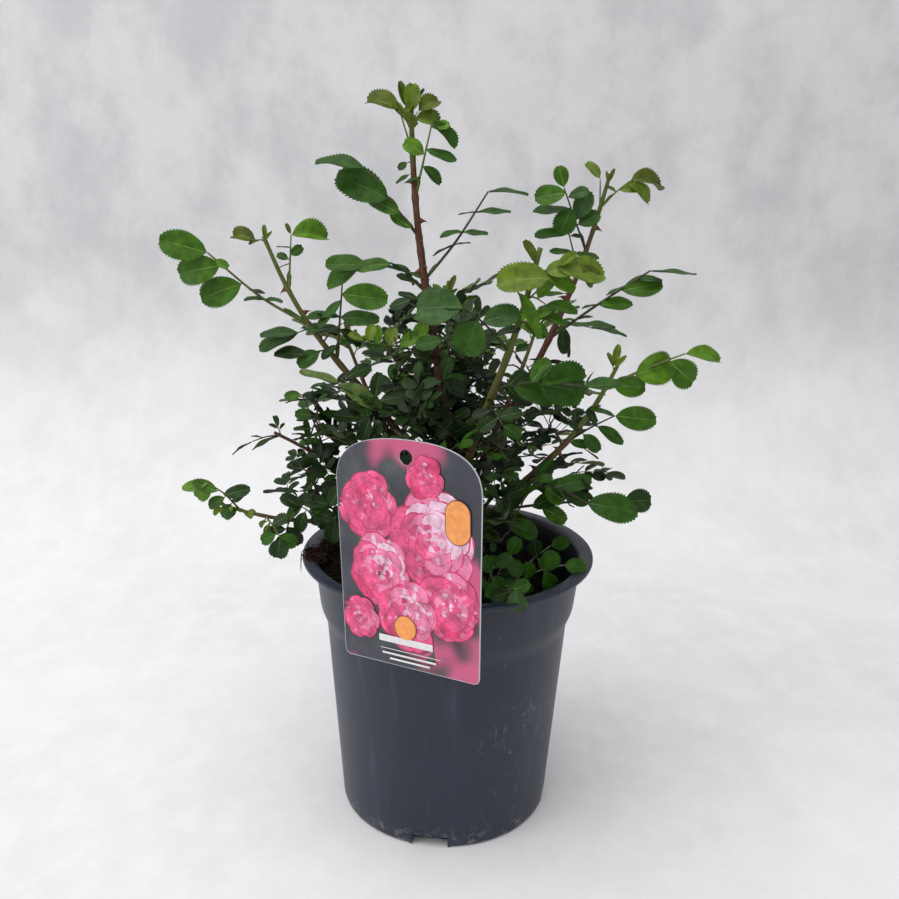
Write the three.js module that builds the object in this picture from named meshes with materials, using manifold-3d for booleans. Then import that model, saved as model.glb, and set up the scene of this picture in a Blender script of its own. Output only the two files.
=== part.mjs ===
// A young rose bush in a round plastic nursery pot, with a plant label leaning on the rim.
// Millimetres, +Z up, the front towards -Y, the origin at the middle of the pot's flat underside.
// Azimuths are degrees from +X towards +Y, so the front is -90. Rises are degrees above level.
import * as THREE from "three";
import { mergeVertices } from "three/addons/utils/BufferGeometryUtils.js";
import Module from "manifold-3d";

const wasm = await Module();
wasm.setup();

// ---------------------------------------------------------------- driving dimensions

const GAP = 0.3; // clearance between pieces that touch

const POT = {
  height: 177.5,
  rimRadius: 94.5,
  mouthRadius: 87.3,
  lipDrop: 2.4,
  wall: 1.6,
  flare: 3,
  collarTop: 87,
  collarFoot: 83.4,
  collarHeight: 133,
  collarStep: 3.9,
  collarRise: 10,
  baseRadius: 70,
  baseRound: 3,
  floor: 2.5,
  segments: 36,
};
const NOTCH = { count: 4, azimuth: -97, width: 23, height: 8, depth: 9, wall: 1.6 };
const SOIL = {
  height: 152,
  roughness: 1.6,
  mound: 17,
  moundAzimuth: 196,
  moundRadius: 70,
  moundSpread: 22,
  segments: 24,
};
const LABEL = {
  width: 95,
  footWidth: 90,
  height: 132,
  arch: 27,
  thickness: 0.8,
  holeRadius: 4.4,
  holeBelowApex: 10,
  azimuth: -120.8,
  leanBack: 2.9,
  turn: 3.6,
  shift: 34.3,
  hang: 32,
};
const CROWN = { sunk: 5, height: 34, footRadius: 15, neckRadius: 10, segments: 12 };
const FOOT_REACH = 6; // where a cane leaves the root crown, from the axis

// Each cane rises from the root crown to its tip: reach is the tip's distance from the axis and top its
// height. bow lifts the middle of the cane off the straight line, sway bends it like an S.
const CANES = {
  tall: { azimuth: 142, reach: 34, top: 460, bow: 7, sway: 6, foot: 4.0, tip: 1.5 },
  left: { azimuth: 176, reach: 116, top: 376, bow: 14, sway: 10, foot: 3.2, tip: 1.2 },
  front: { azimuth: -50, reach: 74, top: 376, bow: 10, sway: 5, foot: 3.8, tip: 1.4 },
  right: { azimuth: 22, reach: 106, top: 416, bow: 1, sway: 5, foot: 3.4, tip: 1.2 },
  low_right: { azimuth: -22, reach: 106, top: 312, bow: 0, sway: 5, foot: 3.2, tip: 1.1 },
  low_left: { azimuth: 187, reach: 146, top: 212, bow: 12, sway: 6, foot: 2.4, tip: 0.9 },
  side_left: { azimuth: 172, reach: 116, top: 250, bow: 12, sway: 0, foot: 2.6, tip: 1.0 },
  back: { azimuth: 92, reach: 76, top: 332, bow: 8, sway: 4, foot: 3.0, tip: 1.1 },
  back_left: { azimuth: 134, reach: 104, top: 300, bow: 6, sway: 4, foot: 2.8, tip: 1.1 },
  back_right: { azimuth: 54, reach: 102, top: 312, bow: 8, sway: 4, foot: 2.8, tip: 1.1 },
};

// The dense middle of the crown: ellipsoids by centre and half sizes.
const CORES = {
  heart: { centre: [0, 8, 246], half: [44, 42, 48] },
  heart_top: { centre: [-12, 18, 312], half: [42, 34, 30] },
  heart_left: { centre: [-64, 4, 254], half: [32, 34, 40] },
  heart_right: { centre: [60, 6, 262], half: [32, 36, 44] },
  heart_front: { centre: [22, -50, 238], half: [42, 24, 40] },
  heart_back: { centre: [0, 66, 262], half: [56, 30, 46] },
  skirt_left: { centre: [-102, -4, 212], half: [26, 30, 21] },
  skirt_right: { centre: [94, -22, 212], half: [26, 34, 24] },
  pot_clump: { centre: [54, -26, 174], half: [34, 40, 13] },
};

// The leaf sprays of each cane. A spray leaves the cane at a height, along its azimuth and rise. tilt turns
// its upper face from straight up towards the front, and droop is how far its tip hangs below its line.
const SPRAYS = {
  tall: {
    left: { height: 374, azimuth: 202, rise: 42, length: 84, width: 30, tilt: 50, droop: 1 },
    right: { height: 349, azimuth: -6, rise: 47, length: 86, width: 30, tilt: 20, droop: 3 },
    upper: { height: 410, azimuth: -19, rise: 46, length: 36, width: 27, tilt: 40, droop: 1 },
    back: { height: 341, azimuth: 159, rise: 22, length: 58, width: 24, tilt: 10, droop: 3 },
    tuft: { height: 427, azimuth: 180, rise: 78, length: 40, width: 48, tilt: 60, droop: 0 },
  },
  left: {
    far: { height: 327, azimuth: 205, rise: 34, length: 105, width: 34, tilt: 50, droop: 6 },
    upright: { height: 342, azimuth: -30, rise: 50, length: 51, width: 22, tilt: 45, droop: 3 },
    inner: { height: 300, azimuth: -50, rise: 60, length: 68, width: 44, tilt: 25, droop: 4 },
    under: { height: 316, azimuth: 160, rise: -15, length: 42, width: 26, tilt: 20, droop: 2 },
    tuft: { height: 358, azimuth: 195, rise: 55, length: 32, width: 28, tilt: 50, droop: 0 },
  },
  side_left: {
    tip: { height: 246, azimuth: 198, rise: -4, length: 46, width: 16, tilt: 20, droop: 2 },
    up: { height: 243, azimuth: 228, rise: 52, length: 48, width: 26, tilt: 30, droop: 3 },
  },
  low_left: {
    tip: { height: 205, azimuth: 195, rise: 38, length: 44, width: 30, tilt: 25, droop: 4 },
    hang: { height: 200, azimuth: 252, rise: -4, length: 38, width: 30, tilt: 30, droop: 4 },
  },
  front: {
    left: { height: 315, azimuth: 213, rise: 39, length: 84, width: 42, tilt: 55, droop: 5 },
    right: { height: 291, azimuth: -38, rise: 15, length: 86, width: 34, tilt: 20, droop: 4 },
    low: { height: 275, azimuth: -68, rise: 6, length: 60, width: 34, tilt: 25, droop: 4 },
    tuft: { height: 345, azimuth: -45, rise: 55, length: 44, width: 58, tilt: 45, droop: 0 },
  },
  right: {
    inner: { height: 356, azimuth: 228, rise: 59, length: 70, width: 50, tilt: 40, droop: 2 },
    far: { height: 312, azimuth: -16, rise: 32, length: 104, width: 34, tilt: 25, droop: 5 },
    under: { height: 318, azimuth: 35, rise: 4, length: 70, width: 26, tilt: 10, droop: 4 },
    tuft: { height: 386, azimuth: -16, rise: 42, length: 48, width: 38, tilt: 50, droop: 1 },
  },
  low_right: {
    far: { height: 290, azimuth: -13, rise: 32, length: 76, width: 28, tilt: 45, droop: 14 },
    mid: { height: 257, azimuth: -18, rise: 28, length: 62, width: 30, tilt: 35, droop: 3 },
    low: { height: 231, azimuth: -38, rise: 2, length: 80, width: 36, tilt: 25, droop: 3 },
  },
};

// On the canes at the back the leaves alternate round the cane, each a golden angle past the last.
const BACK_SPRAYS = {
  canes: ["back", "back_left", "back_right"],
  perCane: 3,
  firstAt: 0.7,
  lastAt: 0.96,
  turn: 137.5,
  spread: 75,
  rise: 26,
  length: 60,
  width: 32,
  tilt: -10,
  droop: 4,
};
const SPRAY = { thickness: 0.42, segments: 6, rings: 5, stalk: 1.6, rippleSize: 0.12 };

// ---------------------------------------------------------------- helpers

const rad = THREE.MathUtils.degToRad;
const UP = new THREE.Vector3(0, 0, 1);

/** The unit vector along an azimuth and a rise. */
function heading(azimuth, rise = 0) {
  const level = Math.cos(rad(rise));
  return new THREE.Vector3(
    level * Math.cos(rad(azimuth)),
    level * Math.sin(rad(azimuth)),
    Math.sin(rad(rise)),
  );
}

/** A closed geometry as a manifold-3d solid. */
function solidOf(geometry) {
  const bare = geometry.clone();
  bare.deleteAttribute("normal");
  bare.deleteAttribute("uv");
  const merged = mergeVertices(bare, 1e-4);
  return new wasm.Manifold(
    new wasm.Mesh({
      numProp: 3,
      vertProperties: new Float32Array(merged.attributes.position.array),
      triVerts: new Uint32Array(merged.index.array),
    }),
  );
}

/** A manifold-3d solid as a flat-shaded geometry. */
function geometryOf(solid) {
  const mesh = solid.getMesh();
  const geometry = new THREE.BufferGeometry();
  geometry.setAttribute("position", new THREE.BufferAttribute(mesh.vertProperties, 3));
  geometry.setIndex(new THREE.BufferAttribute(mesh.triVerts, 1));
  const faceted = geometry.toNonIndexed();
  faceted.computeVertexNormals();
  return faceted;
}

/** The largest separate body of a solid. */
function largest(solid) {
  const bodies = solid.decompose();
  return bodies.reduce((best, body) => (body.volume() > best.volume() ? body : best));
}

/** A smooth bump of a direction, from -1 to 1, that differs with the seed. */
function ripple(direction, seed) {
  const a = Math.sin(3 * direction.x + 2 * direction.z + 1.7 * seed);
  const b = Math.sin(4 * direction.y - 3 * direction.x + 2.3 * seed);
  const c = Math.sin(5 * direction.z + 2 * direction.y + 3.1 * seed);
  return (a + b + c) / 3;
}

/** Moves each vertex of a geometry by a function of its position. */
function shape(geometry, move) {
  const position = geometry.getAttribute("position");
  const point = new THREE.Vector3();
  for (let i = 0; i < position.count; i++) {
    point.fromBufferAttribute(position, i);
    move(point);
    position.setXYZ(i, point.x, point.y, point.z);
  }
  return geometry;
}

/** A lathed solid about the Z axis, from a profile of [radius, height] that starts and ends on it. */
function turned(profile, segments) {
  const points = profile.map(([radius, height]) => new THREE.Vector2(radius, height));
  return new THREE.LatheGeometry(points, segments).rotateX(Math.PI / 2);
}

function finish(color, roughness) {
  return new THREE.MeshStandardMaterial({ color, roughness, metalness: 0 });
}

// ---------------------------------------------------------------- pot

/** The radius of the pot's outer wall at a height below the collar. */
function wallRadius(height) {
  const top = POT.collarFoot - POT.collarStep;
  return THREE.MathUtils.lerp(POT.baseRadius, top, height / POT.collarHeight);
}

/** A block that fills a notch and reaches out past the wall, grown by a margin. */
function notchBlock(index, margin) {
  const depth = 2 * NOTCH.depth + margin;
  const block = new THREE.BoxGeometry(depth, NOTCH.width + 2 * margin, 2 * (NOTCH.height + margin));
  block.translate(POT.baseRadius - NOTCH.depth - margin + depth / 2, 0, 0);
  return block.rotateZ(rad(NOTCH.azimuth + (index * 360) / NOTCH.count));
}

/** The pot's outer profile from the middle of its underside to the rim, grown by a margin. */
function outerProfile(margin) {
  const { height, rimRadius, wall } = POT;
  const flange = height - wall - margin;
  const lipFoot = height - POT.lipDrop - margin;
  return [
    [0, 0],
    [POT.baseRadius - POT.baseRound, 0],
    [POT.baseRadius + margin, POT.baseRound],
    [wallRadius(POT.collarHeight) + margin, POT.collarHeight],
    [POT.collarFoot + margin, POT.collarHeight + POT.collarRise],
    [POT.collarTop + margin, flange - POT.flare],
    [POT.collarTop + 2 + margin, flange],
    [rimRadius - wall - margin, flange],
    [rimRadius - 1 - margin, lipFoot],
    [rimRadius + margin, lipFoot],
    [rimRadius + margin, height - 1],
    [rimRadius - 1, height + margin],
  ];
}

/** The pot's inner profile from the rim down to the middle of its floor, grown by a margin. */
function innerProfile(margin) {
  const { height, mouthRadius } = POT;
  const wall = POT.wall + margin;
  return [
    [mouthRadius + 1, height + margin],
    [mouthRadius - margin, height - 1],
    [POT.collarTop - wall, height - 1 - POT.flare],
    [POT.collarFoot - wall, POT.collarHeight + POT.collarRise],
    [wallRadius(POT.collarHeight) - wall, POT.collarHeight],
    [wallRadius(POT.floor) - wall, POT.floor],
    [0, POT.floor],
  ];
}

/** The bare pot without its notches, grown all round by a margin. */
function shellSolid(margin) {
  return solidOf(turned([...outerProfile(margin), ...innerProfile(margin)], POT.segments));
}

function potSolid() {
  let pot = shellSolid(0);
  const below = [...outerProfile(0).slice(0, 4), [0, POT.collarHeight]];
  const inside = solidOf(turned(below, POT.segments));
  for (let i = 0; i < NOTCH.count; i++) {
    const lining = solidOf(notchBlock(i, NOTCH.wall)).intersect(inside);
    pot = pot.add(lining).subtract(solidOf(notchBlock(i, 0)));
  }
  return pot;
}

// ---------------------------------------------------------------- potting soil

/** The height of the soil's surface: rough, with a mound of fibrous moss against the rim on one side. */
function soilHeight(x, y) {
  const mound = heading(SOIL.moundAzimuth).multiplyScalar(SOIL.moundRadius);
  const away = Math.hypot(x - mound.x, y - mound.y) / SOIL.moundSpread;
  const rough = Math.sin(x / 7) * Math.cos(y / 6) + 0.6 * Math.sin((x + y) / 4);
  return SOIL.height + SOIL.mound * Math.exp(-away * away) + SOIL.roughness * rough;
}

/** The soil as it fills the pot, its surface raised by a margin. */
function soilFill(margin) {
  const skin = POT.wall + GAP + 0.4;
  const ledge = POT.collarHeight + POT.collarRise;
  const edge = POT.collarFoot - skin;
  const rings = 4;
  const profile = [
    [0, POT.floor + GAP],
    [wallRadius(0) - skin, POT.floor + GAP],
    [wallRadius(POT.collarHeight) - skin, POT.collarHeight],
    [edge, ledge],
  ];
  for (let ring = rings; ring >= 0; ring--) {
    profile.push([(edge * ring) / rings, SOIL.height]);
  }
  const fill = shape(turned(profile, SOIL.segments), (point) => {
    if (point.z > SOIL.height - 1) point.z = soilHeight(point.x, point.y) + margin;
  });
  return solidOf(fill);
}

/** The soil with room for the root crown and for the linings of the pot's notches. */
function soilSolid() {
  let soil = soilFill(0).subtract(crownSolid(GAP));
  for (let i = 0; i < NOTCH.count; i++) {
    soil = soil.subtract(solidOf(notchBlock(i, NOTCH.wall + GAP)));
  }
  return largest(soil);
}

// ---------------------------------------------------------------- root crown and canes

/** The short knobbly stem that all the canes grow from, grown all round by a margin. */
function crownSolid(margin) {
  const foot = SOIL.height - CROWN.sunk;
  const profile = [
    [0, foot - margin],
    [CROWN.footRadius + margin, foot - margin],
    [CROWN.footRadius - 2 + margin, foot + 0.4 * CROWN.height],
    [CROWN.neckRadius + margin, foot + 0.8 * CROWN.height],
    [CROWN.neckRadius - 4 + margin, foot + CROWN.height + margin],
    [0, foot + CROWN.height + margin],
  ];
  return solidOf(
    shape(turned(profile, CROWN.segments), (point) => {
      const lumps = 1 + 0.07 * Math.sin(5 * Math.atan2(point.y, point.x));
      point.x *= lumps;
      point.y *= lumps;
    }),
  );
}

/** A point on a cane's centre line, t from 0 at the root crown to 1 at the tip. */
function canePoint(cane, t) {
  const outward = heading(cane.azimuth);
  const foot = outward.clone().multiplyScalar(FOOT_REACH).setZ(SOIL.height + 8);
  const tip = outward.clone().multiplyScalar(cane.reach).setZ(cane.top);
  const chord = tip.clone().sub(foot);
  const side = new THREE.Vector3().crossVectors(outward, UP);
  const lift = new THREE.Vector3().crossVectors(side, chord).normalize();
  const offset = cane.bow * Math.sin(Math.PI * t) + cane.sway * Math.sin(2 * Math.PI * t);
  return foot.addScaledVector(chord, t).addScaledVector(lift, offset);
}

/** The point where a cane passes a height. */
function caneAtHeight(cane, height) {
  let low = 0;
  let high = 1;
  for (let i = 0; i < 30; i++) {
    const middle = (low + high) / 2;
    if (canePoint(cane, middle).z < height) low = middle;
    else high = middle;
  }
  return canePoint(cane, low);
}

/** A tapering limb along the cane's line, grown all round by a margin. */
function caneSolid(cane, margin) {
  const steps = 8;
  const sides = 6;
  const step = 1e-3;
  const rod = new THREE.CylinderGeometry(1, 1, 1, sides, steps).rotateX(Math.PI / 2);
  return solidOf(
    shape(rod, (point) => {
      const t = point.z + 0.5;
      const centre = canePoint(cane, t);
      const along = canePoint(cane, t + step).sub(canePoint(cane, t - step)).normalize();
      const side = new THREE.Vector3().crossVectors(UP, heading(cane.azimuth));
      const lift = new THREE.Vector3().crossVectors(along, side);
      const radius = THREE.MathUtils.lerp(cane.foot, cane.tip, t) + margin;
      const end = margin * Math.sign(point.z) * (Math.abs(point.z) > 0.499 ? 1 : 0);
      const { x, y } = point;
      point.copy(centre).addScaledVector(side, x * radius).addScaledVector(lift, y * radius);
      point.addScaledVector(along, end);
    }),
  );
}

// ---------------------------------------------------------------- foliage

/** A dense, uneven mass of leaves about a centre, grown by a margin. */
function coreSolid(core, seed, margin) {
  const ball = new THREE.IcosahedronGeometry(1, 2);
  const [a, b, c] = core.half;
  return solidOf(
    shape(ball, (point) => {
      const swell = 1 + 0.1 * ripple(point, seed);
      point.multiply(new THREE.Vector3(a * swell + margin, b * swell + margin, c * swell + margin));
      point.add(new THREE.Vector3(...core.centre));
    }),
  );
}

/** How wide a spray is along its length, from 0 at the stalk to 1 at its widest. */
function sprayOutline(s) {
  return Math.sin(Math.PI * Math.pow(s, 0.8)) ** 0.75;
}

/** A flat, uneven drop of leaves on a short stalk, from the cane outwards, grown by a margin. */
function spraySolid(cane, spray, seed, margin) {
  const profile = [];
  for (let ring = 0; ring <= SPRAY.rings; ring++) {
    const s = ring / SPRAY.rings;
    profile.push([ring % SPRAY.rings === 0 ? 0 : 1, s]);
  }
  const along = heading(spray.azimuth, spray.rise);
  const face = heading(-90, 90 - spray.tilt);
  const side = new THREE.Vector3().crossVectors(face, along).normalize();
  const normal = new THREE.Vector3().crossVectors(along, side);
  const root = caneAtHeight(CANES[cane], spray.height);
  const thickness = spray.width * SPRAY.thickness;
  const drop = turned(profile, SPRAY.segments);
  return solidOf(
    shape(drop, (point) => {
      const s = point.z;
      const swell = sprayOutline(s) * (1 + SPRAY.rippleSize * ripple(point, seed));
      const wide = point.x * (Math.max((spray.width / 2) * swell, SPRAY.stalk) + margin);
      const deep = point.y * (Math.max((thickness / 2) * swell, SPRAY.stalk) + margin);
      const reach = spray.length * s + margin * (2 * s - 1);
      point.copy(root).addScaledVector(along, reach).addScaledVector(side, wide);
      point.addScaledVector(normal, deep);
      point.z -= spray.droop * s * s;
    }),
  );
}

/** The sprays on the canes at the back, worked out along and around each cane. */
function backSprays() {
  const made = {};
  BACK_SPRAYS.canes.forEach((name, index) => {
    const cane = CANES[name];
    made[name] = {};
    for (let i = 0; i < BACK_SPRAYS.perCane; i++) {
      const part = i / (BACK_SPRAYS.perCane - 1);
      const t = THREE.MathUtils.lerp(BACK_SPRAYS.firstAt, BACK_SPRAYS.lastAt, part);
      const turn = Math.sin(rad(BACK_SPRAYS.turn * (i + index)));
      const { length, width, tilt, droop } = BACK_SPRAYS;
      made[name][i + 1] = {
        height: canePoint(cane, t).z,
        azimuth: cane.azimuth + BACK_SPRAYS.spread * turn,
        rise: BACK_SPRAYS.rise * (0.4 + part),
        length: length * (1.1 - 0.3 * part),
        width,
        tilt,
        droop,
      };
    }
  });
  return made;
}

// ---------------------------------------------------------------- plant label

/** The label's outline: a card that tapers to square corners, with an arched top and a hanging hole. */
function labelOutline() {
  const half = LABEL.width / 2;
  const shoulder = LABEL.height - LABEL.arch;
  const outline = new THREE.Shape();
  outline.moveTo(-LABEL.footWidth / 2, 0);
  outline.lineTo(LABEL.footWidth / 2, 0);
  outline.lineTo(half, shoulder);
  outline.bezierCurveTo(half, LABEL.height - 5, half * 0.55, LABEL.height, 0, LABEL.height);
  outline.bezierCurveTo(-half * 0.55, LABEL.height, -half, LABEL.height - 5, -half, shoulder);
  const hole = new THREE.Path();
  hole.absarc(0, LABEL.height - LABEL.holeBelowApex, LABEL.holeRadius, 0, 2 * Math.PI, true);
  outline.holes.push(hole);
  return outline;
}

/** The card leans on the rim's outer edge: its back touches the rim at one height and azimuth. */
function labelPlacement() {
  const outward = heading(LABEL.azimuth);
  const touch = outward.clone().multiplyScalar(POT.rimRadius + GAP).setZ(POT.height - 1);
  const across = heading(LABEL.azimuth + 90);
  const leaned = UP.clone().applyAxisAngle(across, rad(-LABEL.leanBack));
  const front = new THREE.Vector3().crossVectors(across, leaned);
  const right = across.clone().applyAxisAngle(front, rad(LABEL.turn));
  const upward = leaned.clone().applyAxisAngle(front, rad(LABEL.turn));
  const corner = touch.addScaledVector(across, LABEL.shift).addScaledVector(leaned, -LABEL.hang);
  return new THREE.Matrix4().makeBasis(right, upward, front).setPosition(corner);
}

/** The card, its faces moved apart by a margin. */
function labelGeometry(margin) {
  const settings = { depth: LABEL.thickness + 2 * margin, bevelEnabled: false, curveSegments: 6 };
  return new THREE.ExtrudeGeometry(labelOutline(), settings).translate(0, 0, -margin);
}

// ---------------------------------------------------------------- assembly

const FINISHES = {
  pot: finish(0x3a404c, 0.45),
  soil: finish(0x1e1712, 0.95),
  label: finish(0xd2557f, 0.4),
  crown: finish(0x4a3324, 0.85),
  cane: finish(0x6a4030, 0.6),
  core: finish(0x20381c, 0.7),
  spray: finish(0x3c6a2e, 0.6),
};

const roseBush = new THREE.Group();
roseBush.name = "potted_rose_bush";
const placed = []; // makers of the grown solids already in place

/** Adds a solid to a group as a named mesh. */
function addMesh(group, name, geometry, material) {
  const mesh = new THREE.Mesh(geometry, material);
  mesh.name = name;
  group.add(mesh);
  return mesh;
}

/** Cuts a solid back from all the pieces in place, keeps its largest body and puts it in place. */
function addGrown(group, name, makeSolid, material) {
  let solid = makeSolid(0);
  for (const grown of placed) solid = solid.subtract(grown);
  addMesh(group, name, geometryOf(largest(solid)), material);
  placed.push(makeSolid(GAP));
}

const potted = new THREE.Group();
addMesh(potted, "pot", geometryOf(potSolid()), FINISHES.pot);
addMesh(potted, "soil", geometryOf(soilSolid()), FINISHES.soil);
const label = addMesh(potted, "label", labelGeometry(0), FINISHES.label);
label.applyMatrix4(labelPlacement());

const wood = new THREE.Group();
addGrown(wood, "root_crown", crownSolid, FINISHES.crown);
for (const [name, cane] of Object.entries(CANES)) {
  addGrown(wood, `cane_${name}`, (margin) => caneSolid(cane, margin), FINISHES.cane);
}

placed.push(shellSolid(GAP), soilFill(GAP), solidOf(labelGeometry(GAP).applyMatrix4(labelPlacement())));

const foliage = new THREE.Group();
Object.entries(CORES).forEach(([name, core], seed) => {
  addGrown(foliage, `leaves_${name}`, (margin) => coreSolid(core, seed, margin), FINISHES.core);
});
const sprayRows = Object.entries({ ...SPRAYS, ...backSprays() }).flatMap(([cane, sprays]) =>
  Object.entries(sprays).map(([name, spray]) => ({ name: `spray_${cane}_${name}`, cane, spray })),
);
sprayRows.forEach(({ name, cane, spray }, seed) => {
  addGrown(foliage, name, (margin) => spraySolid(cane, spray, seed, margin), FINISHES.spray);
});

roseBush.add(potted, wood, foliage);

export default roseBush;
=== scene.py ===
"""A young rose bush in its plastic nursery pot, with a plant label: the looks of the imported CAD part.

Lengths inside this script are millimetres in the part's own frame (+Z up, -Y towards the front), and
each mesh is scaled to metres as it is made. Azimuths are in degrees from +X, anticlockwise from above.
"""

import itertools
import math

import bpy
import numpy as np
from mathutils import Matrix, Vector, noise


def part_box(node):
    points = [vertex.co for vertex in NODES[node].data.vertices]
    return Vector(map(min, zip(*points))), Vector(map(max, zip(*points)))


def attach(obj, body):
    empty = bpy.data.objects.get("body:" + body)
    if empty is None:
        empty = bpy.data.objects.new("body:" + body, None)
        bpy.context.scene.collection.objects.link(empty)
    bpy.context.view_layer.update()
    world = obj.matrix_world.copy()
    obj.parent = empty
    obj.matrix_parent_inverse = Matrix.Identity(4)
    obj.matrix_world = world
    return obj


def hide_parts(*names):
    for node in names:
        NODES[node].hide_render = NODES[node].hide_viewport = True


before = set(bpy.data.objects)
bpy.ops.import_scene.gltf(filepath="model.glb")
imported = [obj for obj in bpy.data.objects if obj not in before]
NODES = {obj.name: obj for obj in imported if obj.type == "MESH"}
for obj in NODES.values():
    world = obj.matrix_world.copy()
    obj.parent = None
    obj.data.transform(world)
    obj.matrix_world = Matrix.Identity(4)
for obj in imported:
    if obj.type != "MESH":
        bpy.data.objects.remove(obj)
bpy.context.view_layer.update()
UP = np.array((0.0, 0.0, 1.0))
GOLDEN_ANGLE = 137.5
CAMERA = dict(place=(0, -0.584, 0.412), lens=38.04, pitch=74.04, roll=0.97)

# The pot's heights and radii. Then the longest span of its section, the segments round it, how far it is
# out of round, and the least angle of an edge that stays sharp.
POT = dict(height=177.5, rim=94.5, lip=2.4, wall=1.6, flare=3.4, collar_top=87, collar_foot=83.4,
           collar_height=133, collar_step=3.9, collar_rise=10, base=70, floor=2.5)
POT_SPAN, POT_SEGMENTS, POT_WOBBLE, POT_CREASE = 9, 224, 0.35, 38
NOTCH = dict(count=4, azimuth=-97, width=23, height=8, depth=9, lining=1.6)
SOIL = dict(height=152, rough=1.6, mound=22, mound_azimuth=186, mound_radius=74, mound_spread=28,
            reach=81.4, crumbs=1500, crumb_reach=76)
MOSS = dict(threads=980, reach=82)
SPILL = dict(azimuth=190, spread=3.6, threads=150, hanging=8)
LABEL = dict(width=95, foot=90, height=132, arch=27, thickness=0.8, hole=4.4, hole_below=10)


# ---------------------------------------------------------------- vectors and paths

def unit(vector):
    vector = np.asarray(vector, float)
    return vector / max(np.linalg.norm(vector), 1e-9)


def heading(azimuth, rise=0.0):
    """The unit vector along an azimuth, turned up by rise, both in degrees."""
    a, r = math.radians(azimuth), math.radians(rise)
    return np.array((math.cos(a) * math.cos(r), math.sin(a) * math.cos(r), math.sin(r)))


def square_to(vector, axis):
    """The part of vector at right angles to axis, as a unit vector."""
    flat = vector - axis * (vector @ axis)
    if np.linalg.norm(flat) < 1e-6:
        flat = np.cross(axis, (0.0, 1.0, 0.3))
    return unit(flat)


def azimuth_of(vector):
    return math.degrees(math.atan2(vector[1], vector[0]))


def resample(points, step):
    """The same path in even steps of about that length, and how far along it each point is, from 0 to 1."""
    lengths = np.linalg.norm(np.diff(points, axis=0), axis=1)
    along = np.concatenate(([0], np.cumsum(lengths)))
    count = max(3, int(round(along[-1] / step)) + 1)
    even = np.linspace(0, along[-1], count)
    path = np.stack([np.interp(even, along, points[:, k]) for k in range(3)], axis=1)
    return path, even / along[-1]


def smooth_path(points, step):
    """A smooth curve through the points, in even steps."""
    points = np.asarray(points, float)
    ends = np.vstack((2 * points[0] - points[1], points, 2 * points[-1] - points[-2]))
    t = np.linspace(0, 1, 12, endpoint=False)[:, None]
    spans = []
    for a, b, c, d in zip(ends, ends[1:], ends[2:], ends[3:]):
        spans.append(0.5 * (2 * b + (c - a) * t + (2 * a - 5 * b + 4 * c - d) * t**2
                            + (3 * b - a - 3 * c + d) * t**3))
    return resample(np.vstack(spans + [points[-1:]]), step)


def bezier(a, b, c, d, count):
    t = np.linspace(0, 1, count)[:, None]
    return a * (1 - t)**3 + 3 * b * t * (1 - t)**2 + 3 * c * t**2 * (1 - t) + d * t**3


def directions(path):
    steps = np.gradient(path, axis=0)
    return steps / np.linalg.norm(steps, axis=1, keepdims=True)


# ---------------------------------------------------------------- meshes

BOX_FACES = [(0, 1, 3, 2), (4, 6, 7, 5), (0, 4, 5, 1), (2, 3, 7, 6), (0, 2, 6, 4), (1, 5, 7, 3)]


def box_points(low, high):
    """A box's eight corners, in the order that BOX_FACES takes them."""
    return np.array(list(itertools.product(*zip(low, high))), float)


def grid_faces(rows, columns, closed=False):
    """The quads of a grid of vertices stored row by row. A closed grid joins its last column to its first."""
    i, j = np.meshgrid(np.arange(rows - 1), np.arange(columns if closed else columns - 1), indexing="ij")
    i, j = i.ravel(), j.ravel()
    k = (j + 1) % columns
    return np.stack((i * columns + j, (i + 1) * columns + j, (i + 1) * columns + k, i * columns + k), axis=1)


def round_angles(count):
    """Even angles round a full turn, in radians."""
    return np.linspace(0, 2 * math.pi, count, endpoint=False)


def spokes(angles):
    return np.stack((np.cos(angles), np.sin(angles)), 1)


def raised(points, height):
    """Points on a plane, at a height over it."""
    return np.column_stack((points, np.full(len(points), height)))


def new_mesh(name, vertices, faces):
    mesh = bpy.data.meshes.new(name)
    mesh.from_pydata((np.asarray(vertices) / 1000).tolist(), [], faces)
    return mesh


def new_object(name, data):
    made = bpy.data.objects.new(name, data)
    bpy.context.scene.collection.objects.link(made)
    return made


class Batch:
    """Many small shapes that become one mesh."""

    def __init__(self):
        self.parts, self.faces, self.values, self.count = [], [], [], 0

    def add(self, vertices, faces, value=0.0):
        self.parts.append(vertices)
        self.faces.extend((np.asarray(faces) + self.count).tolist())
        self.values.append(np.broadcast_to(value, len(vertices)))
        self.count += len(vertices)

    def piece(self, name, material, slot, replaced=(), value_name=None, smooth=True):
        """Makes the mesh and its object. With a value_name, the points carry their values under that name."""
        mesh = new_mesh(name, np.concatenate(self.parts), self.faces)
        if value_name:
            layer = mesh.attributes.new(value_name, "FLOAT", "POINT")
            layer.data.foreach_set("value", np.concatenate(self.values).astype(np.float32))
        finish_piece(name, mesh, material, replaced, smooth)


def finish_piece(name, mesh, material, replaced=(), smooth=True):
    """Makes the object round a mesh, which rides with the plant and pot."""
    mesh.polygons.foreach_set("use_smooth", [smooth] * len(mesh.polygons))
    mesh.materials.append(material)
    piece = new_object(name, mesh)
    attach(piece, "root")
    if replaced:
        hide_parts(*replaced)


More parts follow.
